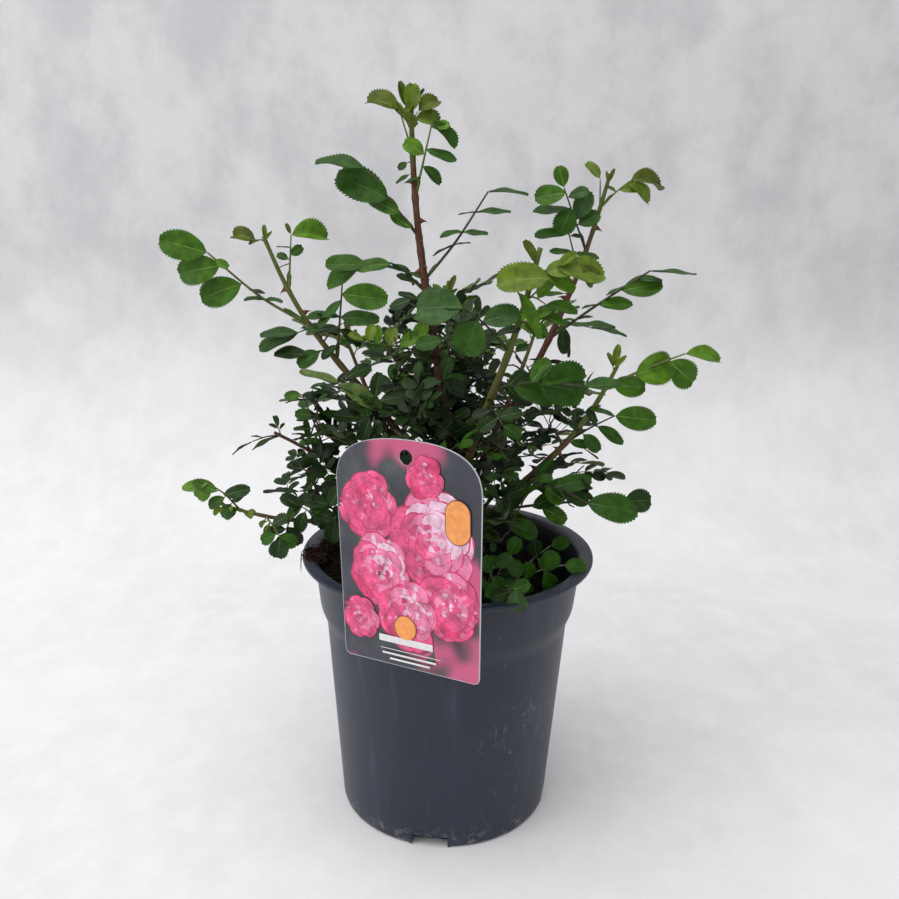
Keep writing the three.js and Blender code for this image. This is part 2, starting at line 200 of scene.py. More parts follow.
def tube_rings(path, radii, sides, relief=None):
    """The rings of vertices round a path. relief multiplies the radius at each point and side."""
    along = directions(path)
    normal = square_to(UP if abs(along[0][2]) < 0.9 else np.array((1.0, 0.0, 0.0)), along[0])
    angles = round_angles(sides)[:, None]
    rings = np.empty((len(path), sides, 3))
    for i, (point, forward) in enumerate(zip(path, along)):
        normal = square_to(normal, forward)
        other = np.cross(forward, normal)
        size = radii[i] * (relief[i] if relief is not None else np.ones(sides))
        rings[i] = point + (np.cos(angles) * normal + np.sin(angles) * other) * size[:, None]
    return rings


def add_tube(batch, path, radii, sides, relief=None, value=0.0):
    """A tube with both ends drawn in."""
    path = np.asarray(path, float)
    radii = np.broadcast_to(radii, len(path)).astype(float)
    rings = tube_rings(path, radii, sides, relief)
    centres = path[:, None, :]
    first = centres[0] + (rings[0] - centres[0]) * 0.02
    last = centres[-1] + (rings[-1] - centres[-1]) * 0.02
    rings = np.concatenate((first[None], rings, last[None]))
    if np.ndim(value):
        value = np.repeat(np.concatenate((value[:1], value, value[-1:])), sides)
    batch.add(rings.reshape(-1, 3), grid_faces(len(rings), sides, closed=True), value)


# ---------------------------------------------------------------- materials

def linear(rgb):
    """A colour given as 0 to 255 on screen, in linear light with alpha."""
    shades = [(c / 255) / 12.92 if c <= 10 else ((c / 255 + 0.055) / 1.055) ** 2.4 for c in rgb]
    return (*shades, 1.0)


class Shader:
    """A Principled material and the few nodes that its colour and relief come from."""

    def __init__(self, name, roughness, specular=0.5):
        self.material = bpy.data.materials.new(name)
        self.material.use_nodes = True
        self.tree = self.material.node_tree
        self.bsdf = self.tree.nodes["Principled BSDF"]
        self.bsdf.inputs["Roughness"].default_value = roughness
        self.bsdf.inputs["Specular IOR Level"].default_value = specular

    def node(self, kind, **settings):
        made = self.tree.nodes.new(kind)
        for key, value in settings.items():
            setattr(made, key, value)
        return made

    def feed(self, socket, value):
        """Links an output to a socket, or sets the socket's own value."""
        if isinstance(value, bpy.types.NodeSocket):
            self.tree.links.new(value, socket)
        else:
            socket.default_value = value

    def place(self, stretch=(1, 1, 1)):
        """The place on the object, stretched along its axes."""
        coordinates = self.node("ShaderNodeTexCoord")
        mapping = self.node("ShaderNodeMapping")
        mapping.inputs["Scale"].default_value = stretch
        self.feed(mapping.inputs["Vector"], coordinates.outputs["Object"])
        return mapping.outputs["Vector"]

    def noise(self, scale, detail=4.0, roughness=0.55, stretch=(1, 1, 1)):
        made = self.node("ShaderNodeTexNoise")
        self.feed(made.inputs["Vector"], self.place(stretch))
        made.inputs["Scale"].default_value = scale
        made.inputs["Detail"].default_value = detail
        made.inputs["Roughness"].default_value = roughness
        return made.outputs["Fac"]

    def ramp(self, factor, stops):
        made = self.node("ShaderNodeValToRGB")
        self.feed(made.inputs["Fac"], factor)
        elements = made.color_ramp.elements
        while len(elements) < len(stops):
            elements.new(0.5)
        for element, (position, rgb) in zip(elements, stops):
            element.position = position
            element.color = linear(rgb)
        return made.outputs["Color"]

    def steps(self, factor, low, high):
        """0 where factor is under low and 1 over high, smooth between."""
        made = self.node("ShaderNodeMapRange", interpolation_type="SMOOTHSTEP")
        self.feed(made.inputs["Value"], factor)
        made.inputs["From Min"].default_value = low
        made.inputs["From Max"].default_value = high
        return made.outputs["Result"]

    def maths(self, operation, a, b):
        made = self.node("ShaderNodeMath", operation=operation)
        self.feed(made.inputs[0], a)
        self.feed(made.inputs[1], b)
        return made.outputs["Value"]

    def times(self, a, b):
        return self.maths("MULTIPLY", a, b)

    def mix(self, factor, first, second):
        made = self.node("ShaderNodeMix", data_type="RGBA")
        self.feed(made.inputs["Factor"], factor)
        self.feed(made.inputs[6], first if isinstance(first, bpy.types.NodeSocket) else linear(first))
        self.feed(made.inputs[7], second if isinstance(second, bpy.types.NodeSocket) else linear(second))
        return made.outputs[2]

    def over(self, base, rgb, mask, amount):
        """The base colour, with another over it where the mask is 1, by that amount."""
        return self.mix(self.times(mask, amount), base, rgb)

    def axes(self):
        """The place on the object as its X, Y and Z."""
        split = self.node("ShaderNodeSeparateXYZ")
        self.feed(split.inputs[0], self.place())
        return split.outputs

    def colour(self, value):
        self.feed(self.bsdf.inputs["Base Color"], value)

    def rough(self, value):
        self.feed(self.bsdf.inputs["Roughness"], value)

    def bump(self, height, distance, strength=1.0):
        made = self.node("ShaderNodeBump")
        self.feed(made.inputs["Height"], height)
        made.inputs["Distance"].default_value = distance / 1000
        made.inputs["Strength"].default_value = strength
        self.feed(self.bsdf.inputs["Normal"], made.outputs["Normal"])


def shaded(rgb, amount):
    """The colour made lighter (amount over 1) or darker."""
    return tuple(min(255, max(0, c * amount)) for c in rgb)


def mottled(name, rgb, roughness, specular=0.5, scale=90, contrast=0.14, relief=0.12, relief_scale=700):
    """A surface whose colour wavers a little round one shade, with a fine relief."""
    shader = Shader(name, roughness, specular)
    soft = shader.noise(scale, 3)
    shader.colour(shader.ramp(soft, [(0.3, shaded(rgb, 1 - contrast)), (0.7, shaded(rgb, 1 + contrast))]))
    shader.bump(shader.noise(relief_scale, 2), relief)
    return shader.material


# ---------------------------------------------------------------- camera, stage and light

def make_camera():
    """The camera stands in front of the plant and looks down on it a little."""
    data = bpy.data.cameras.new("camera")
    data.lens = CAMERA["lens"]
    data.sensor_width = 36
    data.clip_start = 0.01
    camera = new_object("camera", data)
    pitch = Matrix.Rotation(math.radians(CAMERA["pitch"]), 4, "X")
    roll = Matrix.Rotation(math.radians(CAMERA["roll"]), 4, "Z")
    camera.matrix_world = Matrix.Translation(CAMERA["place"]) @ pitch @ roll
    bpy.context.scene.camera = camera


def make_stage():
    """A pale sheet of fabric that runs from the floor up behind the plant, with painted shade that greys it
    as it rises.
    """
    front, back, side, top, radius = -2500.0, 620.0, 3200.0, 2600.0, 260.0
    bend = [(back - radius + radius * math.sin(turn), radius - radius * math.cos(turn))
            for turn in np.linspace(0, math.pi / 2, 14)]
    profile = [(front, 0.0)] + bend + [(back, top)]
    corners = [(x, y, z) for y, z in profile for x in (-side, side)]
    mesh = new_mesh("backdrop", corners, grid_faces(len(profile), 2)[:, ::-1].tolist())
    mesh.polygons.foreach_set("use_smooth", [True] * len(mesh.polygons))
    cloth = Shader("backdrop_cloth", 0.95, 0.1)
    blotches = cloth.noise(5, 4, 0.6)
    streaks = cloth.noise(26, 5, 0.65, stretch=(1.3, 1, 0.6))
    base = cloth.ramp(blotches, [(0.3, (238, 237, 238)), (0.7, (250, 249, 250))])
    base = cloth.over(base, (255, 254, 255), cloth.steps(streaks, 0.38, 0.72), 0.5)
    # Painted shade: the sheet is mixed towards grey higher up, more in some patches than in others.
    height = cloth.steps(cloth.axes()["Z"], -0.12, 0.42)
    painted_shade_patches = cloth.steps(cloth.noise(9, 5, 0.65, stretch=(1, 1, 0.8)), 0.36, 0.66)
    shade = cloth.maths("ADD", cloth.times(painted_shade_patches, 0.28), 0.52)
    cloth.colour(cloth.mix(cloth.times(height, shade), base, (180, 181, 184)))
    mesh.materials.append(cloth.material)
    backdrop = new_object("backdrop", mesh)


def add_light(name, place, target, size, power):
    data = bpy.data.lights.new(name, "AREA")
    data.energy = power
    data.size = size
    light = new_object(name, data)
    light.location = place
    light.rotation_euler = (Vector(target) - Vector(place)).to_track_quat("-Z", "Y").to_euler()


def make_lights():
    """An even studio light, a wide lamp overhead and a weaker one at the left."""
    world = bpy.data.worlds.new("studio")
    world.use_nodes = True
    sky = world.node_tree.nodes["Background"]
    sky.inputs["Color"].default_value = (0.985, 0.99, 1.0, 1.0)
    sky.inputs["Strength"].default_value = 0.56
    bpy.context.scene.world = world
    add_light("overhead", (-0.40, -0.35, 1.8), (-0.05, 0, 0.1), 2.0, 18.8)
    add_light("left_front", (-1.6, -0.9, 1.0), (0, 0, 0.2), 1.0, 7.8)
    bpy.context.scene.view_settings.view_transform = "Standard"


# ---------------------------------------------------------------- pot

def rounded(corners, radii):
    """The path with each inner corner rounded by its radius."""
    points = [np.asarray(corner, float) for corner in corners]
    path = [points[0]]
    for before, corner, after, size in zip(points, points[1:], points[2:], radii[1:]):
        reach = min(size, 0.45 * np.linalg.norm(before - corner), 0.45 * np.linalg.norm(after - corner))
        start, end = corner + unit(before - corner) * reach, corner + unit(after - corner) * reach
        for t in np.linspace(0, 1, 4):
            path.append(start * (1 - t)**2 + 2 * corner * t * (1 - t) + end * t**2)
    return np.array(path + [points[-1]])


def pot_wall(height):
    """The radius of the outer wall at a height below the collar."""
    top = POT["collar_foot"] - POT["collar_step"]
    return POT["base"] + (top - POT["base"]) * height / POT["collar_height"]


def pot_profile():
    """The pot's section from the middle of its underside, up the outside and down the inside."""
    height, wall, rim, floor = POT["height"], POT["wall"], POT["rim"], POT["floor"]
    collar, shoulder = POT["collar_height"], POT["collar_height"] + POT["collar_rise"]
    under, lip, flare = height - wall, height - POT["lip"], POT["flare"]
    corners = [
        (0, 0, 0), (POT["base"], 0, 3), (pot_wall(collar), collar, 3), (POT["collar_foot"], shoulder, 3),
        (POT["collar_top"], under, flare), (rim - wall, under, 0.2), (rim - wall + 0.3, lip, 0.2),
        (rim, lip, 0.6), (rim, height, 1.6), (POT["collar_top"] - wall, height, flare),
        (POT["collar_foot"] - wall, shoulder, 3), (pot_wall(collar) - wall, collar, 3),
        (pot_wall(0) - wall, floor, 2), (0, floor, 0),
    ]
    return rounded([c[:2] for c in corners], [c[2] for c in corners])


def fill_profile(profile, longest):
    """The profile with its long spans divided."""
    points = [profile[0]]
    for a, b in zip(profile, profile[1:]):
        count = max(1, int(np.linalg.norm(b - a) / longest))
        points += [a + (b - a) * (k + 1) / count for k in range(count)]
    return np.array(points)


def turned_mesh(profile, segments, wobble):
    """A solid of revolution with its two ends on the axis, slightly out of round."""
    angles = round_angles(segments)
    inner = profile[1:-1]
    rings = np.empty((len(inner), segments, 3))
    for i, (radius, height) in enumerate(inner):
        uneven = wobble * (height / POT["height"]) * (np.sin(2 * angles + 0.6) + 0.5 * np.sin(3 * angles + 2))
        around = radius + uneven * min(1, radius / 40)
        rings[i] = raised(spokes(angles) * around[:, None], height)
    vertices = np.concatenate((rings.reshape(-1, 3), [(0, 0, profile[0][1]), (0, 0, profile[-1][1])]))
    faces = grid_faces(len(inner), segments, closed=True)[:, ::-1].tolist()
    bottom, top, last = len(vertices) - 2, len(vertices) - 1, (len(inner) - 1) * segments
    for j in range(segments):
        k = (j + 1) % segments
        faces.append((bottom, k, j))
        faces.append((top, last + j, last + k))
    return vertices, faces


def box_corners(low, high, azimuth):
    """A box given in the radial direction, across it and up, turned to an azimuth."""
    a = math.radians(azimuth)
    turn = np.array(((math.cos(a), math.sin(a), 0), (-math.sin(a), math.cos(a), 0), (0, 0, 1)))
    return box_points(low, high) @ turn, BOX_FACES


def helper_object(name, shapes):
    """A throwaway object that a Boolean modifier works with."""
    vertices, faces = [], []
    for points, quads in shapes:
        faces += [tuple(len(vertices) + k for k in quad) for quad in quads]
        vertices += points.tolist()
    return new_object(name, new_mesh(name, vertices, faces))


def cut_notches(mesh):
    """The pot with four lined drainage notches at its foot."""
    linings, cuts = [], []
    inner, half = POT["base"] - NOTCH["depth"], NOTCH["width"] / 2
    skin, top, inside_wall = NOTCH["lining"], NOTCH["height"], POT["base"] - 1.3
    lining = (inner - skin, -half - skin, 0.4), (inside_wall, half + skin, top + skin)
    cut = (inner, -half, -6), (inner + 2 * NOTCH["depth"], half, top)
    for index in range(NOTCH["count"]):
        azimuth = NOTCH["azimuth"] + index * 360 / NOTCH["count"]
        linings.append(box_corners(*lining, azimuth))
        cuts.append(box_corners(*cut, azimuth))
    body = new_object("pot_body", mesh)
    helpers = [helper_object("linings", linings), helper_object("cuts", cuts)]
    for helper, operation in zip(helpers, ("UNION", "DIFFERENCE")):
        modifier = body.modifiers.new(operation, "BOOLEAN")
        modifier.operation = operation
        modifier.object = helper
        modifier.solver = "EXACT"
    graph = bpy.context.evaluated_depsgraph_get()
    result = bpy.data.meshes.new_from_object(body.evaluated_get(graph))
    for helper in [body] + helpers:
        bpy.data.objects.remove(helper)
    return result


# How far to the right and how high up the pot's front the rubbed patch lies, in metres.
RUBBED_PATCH = (0.047, 0.084)


def pot_material():
    """Slate-blue moulded plastic, satin, with dust, faint streaks, a rubbed patch and pale scuffs, and
    painted shade on its inner wall.
    """
    shader = Shader("pot_plastic", 0.42, 0.45)
    broad = shader.noise(14, 4)
    base = shader.ramp(broad, [(0.3, (28, 34, 49)), (0.7, (37, 44, 61))])
    streaks = shader.steps(shader.noise(60, 3, 0.6, stretch=(1, 1, 0.12)), 0.52, 0.8)
    base = shader.over(base, (86, 94, 112), streaks, 0.35)
    specks = shader.steps(shader.noise(520, 2, 0.5), 0.735, 0.80)
    base = shader.over(base, (128, 134, 144), specks, 0.55)

    x, y, z = shader.axes()
    low_right = shader.times(shader.steps(x, 0.005, 0.035), shader.steps(z, 0.115, 0.055))
    scratches = shader.steps(shader.noise(150, 5, 0.75, stretch=(1, 1, 0.45)), 0.60, 0.74)
    base = shader.over(base, (150, 152, 156), shader.times(low_right, scratches), 0.5)

    across, above = (shader.maths("SUBTRACT", axis, middle) for axis, middle in zip((x, z), RUBBED_PATCH))
    off_centre = shader.maths("ADD", shader.times(across, across), shader.times(above, above))
    patch = shader.times(shader.steps(off_centre, 0.00060, 0.00008), shader.steps(y, 0.0, -0.01))
    rubs = shader.steps(shader.noise(210, 6, 0.8, stretch=(1, 1, 0.4)), 0.54, 0.68)
    base = shader.over(base, (118, 134, 160), shader.times(patch, rubs), 0.5)

    # Painted shade: the inner wall is painted near black. It is told from the outer one by how far it lies
    # from the pot's taper.
    radius = shader.maths("POWER", shader.maths("ADD", shader.times(x, x), shader.times(y, y)), 0.5)
    taper = shader.maths("SUBTRACT", radius, shader.times(z, 0.134))
    inside = shader.times(shader.steps(taper, 0.0635, 0.0622), shader.steps(z, 0.145, 0.146))
    base = shader.over(base, (12, 12, 14), inside, 0.8)

    foot = shader.steps(z, 0.02, 0.0)
    grime = shader.times(foot, shader.steps(shader.noise(190, 4, 0.7), 0.5, 0.68))
    shader.colour(shader.over(base, (142, 140, 138), grime, 0.55))
    shader.rough(shader.maths("ADD", shader.times(broad, 0.22), 0.32))
    shader.bump(shader.noise(420, 3, 0.5, stretch=(1, 1, 0.35)), 0.10, 0.6)
    return shader.material


def make_pot():
    """The pot, turned from its section, with its notches cut and its edges kept sharp."""
    vertices, faces = turned_mesh(fill_profile(pot_profile(), POT_SPAN), POT_SEGMENTS, POT_WOBBLE)
    mesh = cut_notches(new_mesh("pot_turned", vertices, faces))
    mesh.name = "nursery_pot"
    finish_piece("nursery_pot", mesh, pot_material(), ["pot"])
    mesh.set_sharp_from_angle(angle=math.radians(POT_CREASE))


# ---------------------------------------------------------------- potting soil

def soil_height(x, y):
    """The soil's surface, with its mound of moss against the rim."""
    mound = heading(SOIL["mound_azimuth"]) * SOIL["mound_radius"]
    away = math.hypot(x - mound[0], y - mound[1]) / SOIL["mound_spread"]
    rough = math.sin(x / 7) * math.cos(y / 6) + 0.6 * math.sin((x + y) / 4)
    return SOIL["height"] + SOIL["mound"] * math.exp(-away * away) + SOIL["rough"] * rough


def crumb(rng, place, size):
    """An angular chip with uneven corners."""
    corners = box_points((-1, -1, -1), (1, 1, 1)) * rng.uniform(0.55, 1.15, (8, 3)) * size
    corners *= (1.0, rng.uniform(0.5, 0.9), rng.uniform(0.3, 0.7))
    spin = Matrix.Rotation(rng.uniform(0, 6.28), 3, unit(rng.normal(size=3)))
    return corners @ np.array(spin) + place, BOX_FACES


def make_soil():
    """The gritty ground out to the pot's wall, its crumbs and flakes of bark, and the moss."""
    rng = np.random.default_rng(11)
    reach, rings, segments = SOIL["reach"], 66, 180
    vertices = []
    for i in range(rings):
        radius = reach * (i + 0.5) / (rings - 0.5)
        for angle in round_angles(segments):
            x, y = radius * math.cos(angle), radius * math.sin(angle)
            grit = noise.fractal(Vector((x, y, 3)) / 5, 0.7, 2.1, 4) * 1.5
            grit += abs(noise.noise(Vector((x, y, 9)) / 2.2)) * 1.3
            vertices.append((x, y, soil_height(x, y) + grit))
    ground = Batch()
    ground.add(np.array(vertices), grid_faces(rings, segments, closed=True))
    skirt = np.array(vertices[-segments:])
    under = skirt * (0.985, 0.985, 1) - 8 * UP
    ground.add(np.concatenate((skirt, under)), grid_faces(2, segments, closed=True))
    peat = Shader("peat", 0.95, 0.15)
    tone = peat.noise(130, 5, 0.7)
    peat.colour(peat.ramp(tone, [(0.35, (10, 8, 7)), (0.6, (22, 17, 13)), (0.8, (42, 32, 24))]))
    peat.bump(peat.noise(420, 4, 0.7), 0.9)
    ground.piece("potting_mix", peat.material, "potting_mix", ["soil"])

    chips, bark = Batch(), Batch()
    for _ in range(SOIL["crumbs"]):
        radius, angle = SOIL["crumb_reach"] * math.sqrt(rng.random()), rng.uniform(0, 2 * math.pi)
        x, y = radius * math.cos(angle), radius * math.sin(angle)
        size = rng.uniform(0.6, 1.9) if rng.random() < 0.85 else rng.uniform(2.0, 3.4)
        place = np.array((x, y, soil_height(x, y) + 0.9))
        (bark if rng.random() < 0.22 else chips).add(*crumb(rng, place, size))
    crumbs = mottled("dark_crumbs", (19, 15, 12), 0.95, 0.15, contrast=0.4, relief=0.4)
    chips.piece("soil_crumbs", crumbs, "potting_mix", smooth=False)
    flakes = mottled("bark_chips", (50, 36, 26), 0.9, 0.2, contrast=0.35, relief=0.4)
    bark.piece("soil_bark", flakes, "potting_mix", smooth=False)
    make_moss(rng)


def wandering(rng, start, longest, steps, tilt, inner, outer, floor):
    """A crooked thread that keeps between two radii and above a floor."""
    path, way = [start], unit(rng.normal(size=3) * (1, 1, tilt))
    for _ in range(steps):
        way = unit(way + rng.normal(size=3) * (0.7, 0.7, 0.7 * tilt))
        ahead = path[-1] + way * rng.uniform(1.0, longest)
        if not inner < math.hypot(ahead[0], ahead[1]) < outer:
            break
        ahead[2] = max(ahead[2], floor(ahead))
        path.append(ahead)
    return np.array(path)


def make_moss(rng):
    """Dark fibres of moss and coir piled on the mound, and redder ones that hang over the rim."""
    dark, straw, red, lumps = Batch(), Batch(), Batch(), Batch()
    inwards, across = -heading(SOIL["mound_azimuth"]), heading(SOIL["mound_azimuth"] + 90)
    for index in range(MOSS["threads"]):
        reach, sideways = abs(rng.normal()) * 12, rng.normal() * 17
        x, y = (inwards * (reach - SOIL["mound_radius"] - 12) + across * sideways)[:2]
        if math.hypot(x, y) > MOSS["reach"]:
            continue
        pile = 6 * math.exp(-(sideways / 18) ** 2 - (reach / 18) ** 2)
        start = np.array((x, y, soil_height(x, y) + rng.uniform(-0.5, 1) * pile))
        if index % 3 == 0:
            lumps.add(*crumb(rng, start - UP * 0.5, rng.uniform(1.6, 3.6)))
        outer = MOSS["reach"] + 1.5
        path = wandering(rng, start, 2.8, 6, 0.8, 0, outer, lambda p: soil_height(p[0], p[1]) + 0.3)
        if len(path) > 2:
            kind = straw if index % 9 == 0 else dark
            add_tube(kind, path, rng.uniform(0.14, 0.32), 4)
    rim_top = POT["height"] + 0.4
    for index in range(SPILL["threads"]):
        azimuth, radius = SPILL["azimuth"] + rng.normal() * SPILL["spread"], rng.uniform(80, 92)
        start = heading(azimuth) * radius + UP * (rim_top + rng.uniform(0, 1.6) * (92 - radius) / 12)
        if index % 2 == 0:
            lumps.add(*crumb(rng, start, rng.uniform(0.6, 1.6)))
        path = wandering(rng, start, 2.0, 5, 0.2, 79, 93, lambda p: rim_top)
        if len(path) > 2:
            add_tube(red if index % 3 else dark, path, rng.uniform(0.14, 0.28), 4)
    for _ in range(SPILL["hanging"]):
        azimuth = SPILL["azimuth"] + rng.normal() * 2.6
        side, hang = heading(azimuth + 90), rng.uniform(2, 10)
        stops = [(84, 0.4), (88, 1.0), (93, 0.6), (95.6, -1.6), (96, -3 - hang)]
        path = [heading(azimuth) * r + UP * (rim_top + z) + side * rng.normal() for r, z in stops]
        add_tube(red, smooth_path(path, 2.5)[0], rng.uniform(0.14, 0.22), 4)
    for batch, name, rgb in ((dark, "moss_dark", (36, 29, 20)), (straw, "moss_straw", (66, 50, 34)),
                             (red, "moss_red", (64, 38, 28))):
        batch.piece(name, mottled(name, rgb, 0.9, 0.2, contrast=0.5, scale=160), "potting_mix")
    earth = mottled("moss_lump", (20, 15, 11), 0.95, 0.15, contrast=0.4, scale=200, relief=0.5)
    lumps.piece("moss_lumps", earth, "potting_mix", smooth=False)


# ---------------------------------------------------------------- plant label

def unique_vertices(node):
    """A CAD node's own corners, in millimetres."""
    corners = np.array([v.co for v in NODES[node].data.vertices], float) * 1000
    return np.unique(np.round(corners, 2), axis=0)


class LabelFrame:
    """The label's place: across is x, upwards is y and out of its face is z, from the middle of its foot."""

    def __init__(self):
        corners = unique_vertices("label")
        centre = corners.mean(axis=0)
        _, axes = np.linalg.eigh((corners - centre).T @ (corners - centre))
        front = axes[:, 0] * -np.sign(axes[1, 0])
        spans = [np.ptp(corners @ axes[:, k]) for k in (1, 2)]
        upward = axes[:, 1 + int(np.argmax(spans))]
        upward = upward * np.sign(upward[2])
        self.axes = np.stack((np.cross(upward, front), upward, front))
        local = corners @ self.axes.T
        low, high = local.min(axis=0), local.max(axis=0)
        self.origin = np.array(((low[0] + high[0]) / 2, low[1], high[2])) @ self.axes

    def world(self, points):
        return self.origin + np.asarray(points, float) @ self.axes

    def local(self, points):
        return (np.asarray(points, float) - self.origin) @ self.axes.T


def label_outline(inset):
    """The card's edge, arched at its top, drawn in by inset."""
    half, top, shoulder = LABEL["width"] / 2, LABEL["height"], LABEL["height"] - LABEL["arch"]
    foot = LABEL["foot"] / 2
    arc = bezier(np.array((half, shoulder, 0)), np.array((half, top - 5, 0)),
                 np.array((half * 0.55, top, 0)), np.array((0, top, 0)), 40)
    right = np.vstack(([(foot - 3, 0, 0), (foot - 0.9, 0.9, 0), (foot, 3, 0)], arc))
    left = right[::-1][1:] * (-1, 1, 1)
    edge = np.vstack((right, left))[:, :2]
    if inset:
        following = np.roll(edge, -1, axis=0) - np.roll(edge, 1, axis=0)
        normals = np.stack((-following[:, 1], following[:, 0]), 1)
        edge = edge + inset * normals / np.linalg.norm(normals, axis=1, keepdims=True)
    return edge


def hole_edge(radius, count):
    middle = LABEL["height"] - LABEL["hole_below"]
    return spokes(round_angles(count) - math.pi / 2) * radius + (0, middle)


def holed_sheet(edge, hole, height):
    """A flat sheet between an outline and a hole, as vertices and quads."""
    middle = hole.mean(axis=0)
    angle = np.arctan2(edge[:, 1] - middle[1], edge[:, 0] - middle[0])
    ring = spokes(angle) * np.linalg.norm(hole[0] - middle) + middle
    count = len(edge)
    faces = [(k, (k + 1) % count, count + (k + 1) % count, count + k) for k in range(count)]
    return raised(np.concatenate((edge, ring)), height), faces


def make_label(place):
    """The card, its white border, a dark print with generic blossoms, and plain rules for its words."""
    edge, hole = label_outline(0), hole_edge(LABEL["hole"], 48)
    front, faces = holed_sheet(edge, hole, 0)
    back, _ = holed_sheet(edge, hole, -LABEL["thickness"])
    count = len(edge)
    following = [(k, (k + 1) % count) for k in range(count)]
    sides = [(k, k + 2 * count, n + 2 * count, n) for k, n in following]
    inner = [(count + k, count + n, 3 * count + n, 3 * count + k) for k, n in following]
    card = Batch()
    card.add(place.world(front), faces)
    card.add(place.world(back), [f[::-1] for f in faces])
    card.add(place.world(np.concatenate((front, back))), sides + inner)
    plastic = mottled("label_plastic", (196, 198, 203), 0.32, 0.5, contrast=0.03, relief=0.03)
    card.piece("label_card", plastic, "label_card", ["label"], smooth=False)

    dark = Shader("label_print_dark", 0.3, 0.5)
    cloud = dark.noise(38, 3, 0.5)
    ground = dark.ramp(cloud, [(0.3, (46, 48, 57)), (0.55, (62, 65, 74)), (0.72, (88, 92, 88))])
    blur = dark.steps(dark.noise(21, 2, 0.4), 0.50, 0.60)
    dark.colour(dark.over(ground, (218, 92, 138), blur, 0.8))
    backing = Batch()
    backing.add(place.world(holed_sheet(label_outline(0.32), hole, 0.06)[0]), faces)
    backing.piece("label_print_ground", dark.material, "label_card", smooth=False)
    make_label_marks(place, make_label_blooms(place))


def inside_label(points, inset):
    """Whether each point lies on the card, clear of its edge and its hole."""
    x, y = np.abs(points[:, 0]), points[:, 1]
    shoulder, top = LABEL["height"] - LABEL["arch"], LABEL["height"]
    half = (LABEL["foot"] + (LABEL["width"] - LABEL["foot"]) * np.clip(y / shoulder, 0, 1)) / 2
    rise = np.clip(x / half, 0, 1)
    roof = shoulder + LABEL["arch"] * (1 - rise**2.6) ** (1 / 1.9)
    hole = np.hypot(points[:, 0], y - (top - LABEL["hole_below"])) > LABEL["hole"] + 0.6
    return (x < half - inset) & (y > inset) & (y < roof - inset) & hole


def add_petal(batch, place, middle, way, length, breadth, level, waviness, rng, cup=0.3):
    """A flat ruffled petal in the print, as a fan of quads."""
    count = 12
    turn = np.linspace(-1, 1, count)
    reach = length * (1 - 0.20 * np.abs(turn) ** 2.6) + rng.normal(size=count) * waviness * length
    angle = way + turn * breadth
    points = np.concatenate([middle + spokes(angle) * size[:, None] for size in (reach, reach * cup)])
    keep = inside_label(points, 0.6)
    faces = [(k, k + 1, count + k + 1, count + k) for k in range(count - 1)]
    faces = [f[::-1] for f in faces if keep[list(f)].all()]
    if faces:
        batch.add(place.world(raised(points, level)), faces)


PINKS = {"shadow": (188, 44, 92), "deep": (204, 54, 104), "mid": (218, 78, 126), "light": (230, 120, 158),
         "pale": (240, 180, 202)}
# Each bloom's middle on the card, its size, and how pale it is.
BLOOMS = [((-26, 92), 20, 0.05), ((17, 78), 27, 0.75), ((-19, 55), 21, 0.4), ((27, 42), 20, 0.15),
          ((-1, 31), 20, 0.45), ((-33, 25), 13, 0.2), ((12, 112), 12, 0.0)]

# The badges' middles, width and height, and the rules' lower left corners, width and height, on the card.
BADGES = [(33, 90, 15, 24), (-2, 24, 14, 14)]
RULES = [(-20, 13.6, 36, 4.0), (-19, 9.4, 40, 0.4), (-18, 6.2, 36, 1.2), (-13, 3.2, 27, 1.2)]


def print_ink(name, rgb, scale, contrast, roughness=0.32):
    return mottled(name, rgb, roughness, 0.5, scale, contrast, 0.02)


def make_label_blooms(place):
    """Full round blooms in pinks, with a few leaves between them. Returns how high the top petal lies."""
    rng = np.random.default_rng(5)
    batches = {name: Batch() for name in [*PINKS, "leaf"]}
    names = ("deep", "mid", "light", "pale")
    level = 0.08

    def petal(batch, middle, way, reach, breadth, cup):
        nonlocal level
        level += 0.0008
        add_petal(batches[batch], place, middle, way, reach, breadth, level, 0.012, rng, cup)

    for _ in range(12):
        spot = np.array((rng.uniform(-40, 40), rng.uniform(14, 112)))
        for way in (0.0, 1.2):
            petal("leaf", spot, rng.uniform(0, 6.28) + way, rng.uniform(8, 15), 0.42, 0.05)
    for middle, size, paleness in BLOOMS:
        middle = np.array(middle, float)
        for part, count in zip((0.0, 0.16, 0.32, 0.48, 0.64, 0.78), (7, 7, 6, 6, 5, 5)):
            reach, breadth = size * (1 - part), 3.1 / count
            for index in range(count):
                way = 2 * math.pi * (index + 1.7 * part) / count + rng.normal() * 0.15
                spot = middle + rng.normal(size=2) * size * 0.045
                lit = paleness * (0.7 + 0.8 * math.cos(way - 0.7)) + 0.25 * part + rng.normal() * 0.14
                tone = int(np.clip(1.2 + 2.4 * lit, 0, 3))
                petal("shadow" if tone < 2 else "deep", spot, way, reach * 1.025, breadth * 1.32, 0.3)
                petal(names[tone], spot, way, reach, breadth * 1.25, 0.25)
                if rng.random() < 0.5:
                    streak = way + rng.normal() * 0.3
                    petal(names[min(tone + 1, 3)], spot, streak, reach * 0.94, 0.10, 0.72)
        for _ in range(34):
            tone = names[int(np.clip(1.6 + 2.0 * paleness + rng.normal(), 0, 3))]
            spot = middle + rng.normal(size=2) * size * 0.16
            way, reach = rng.uniform(0, 6.28), size * rng.uniform(0.12, 0.34)
            petal(tone, spot, way, reach, rng.uniform(0.15, 0.5), 0.6)
    for name, rgb in PINKS.items():
        ink = print_ink("petal_" + name, rgb, 150, 0.2)
        batches[name].piece("label_petals_" + name, ink, "label_card", smooth=False)
    green = print_ink("printed_leaf", (66, 80, 62), 200, 0.2)
    batches["leaf"].piece("label_leaves", green, "label_card", smooth=False)
    return level


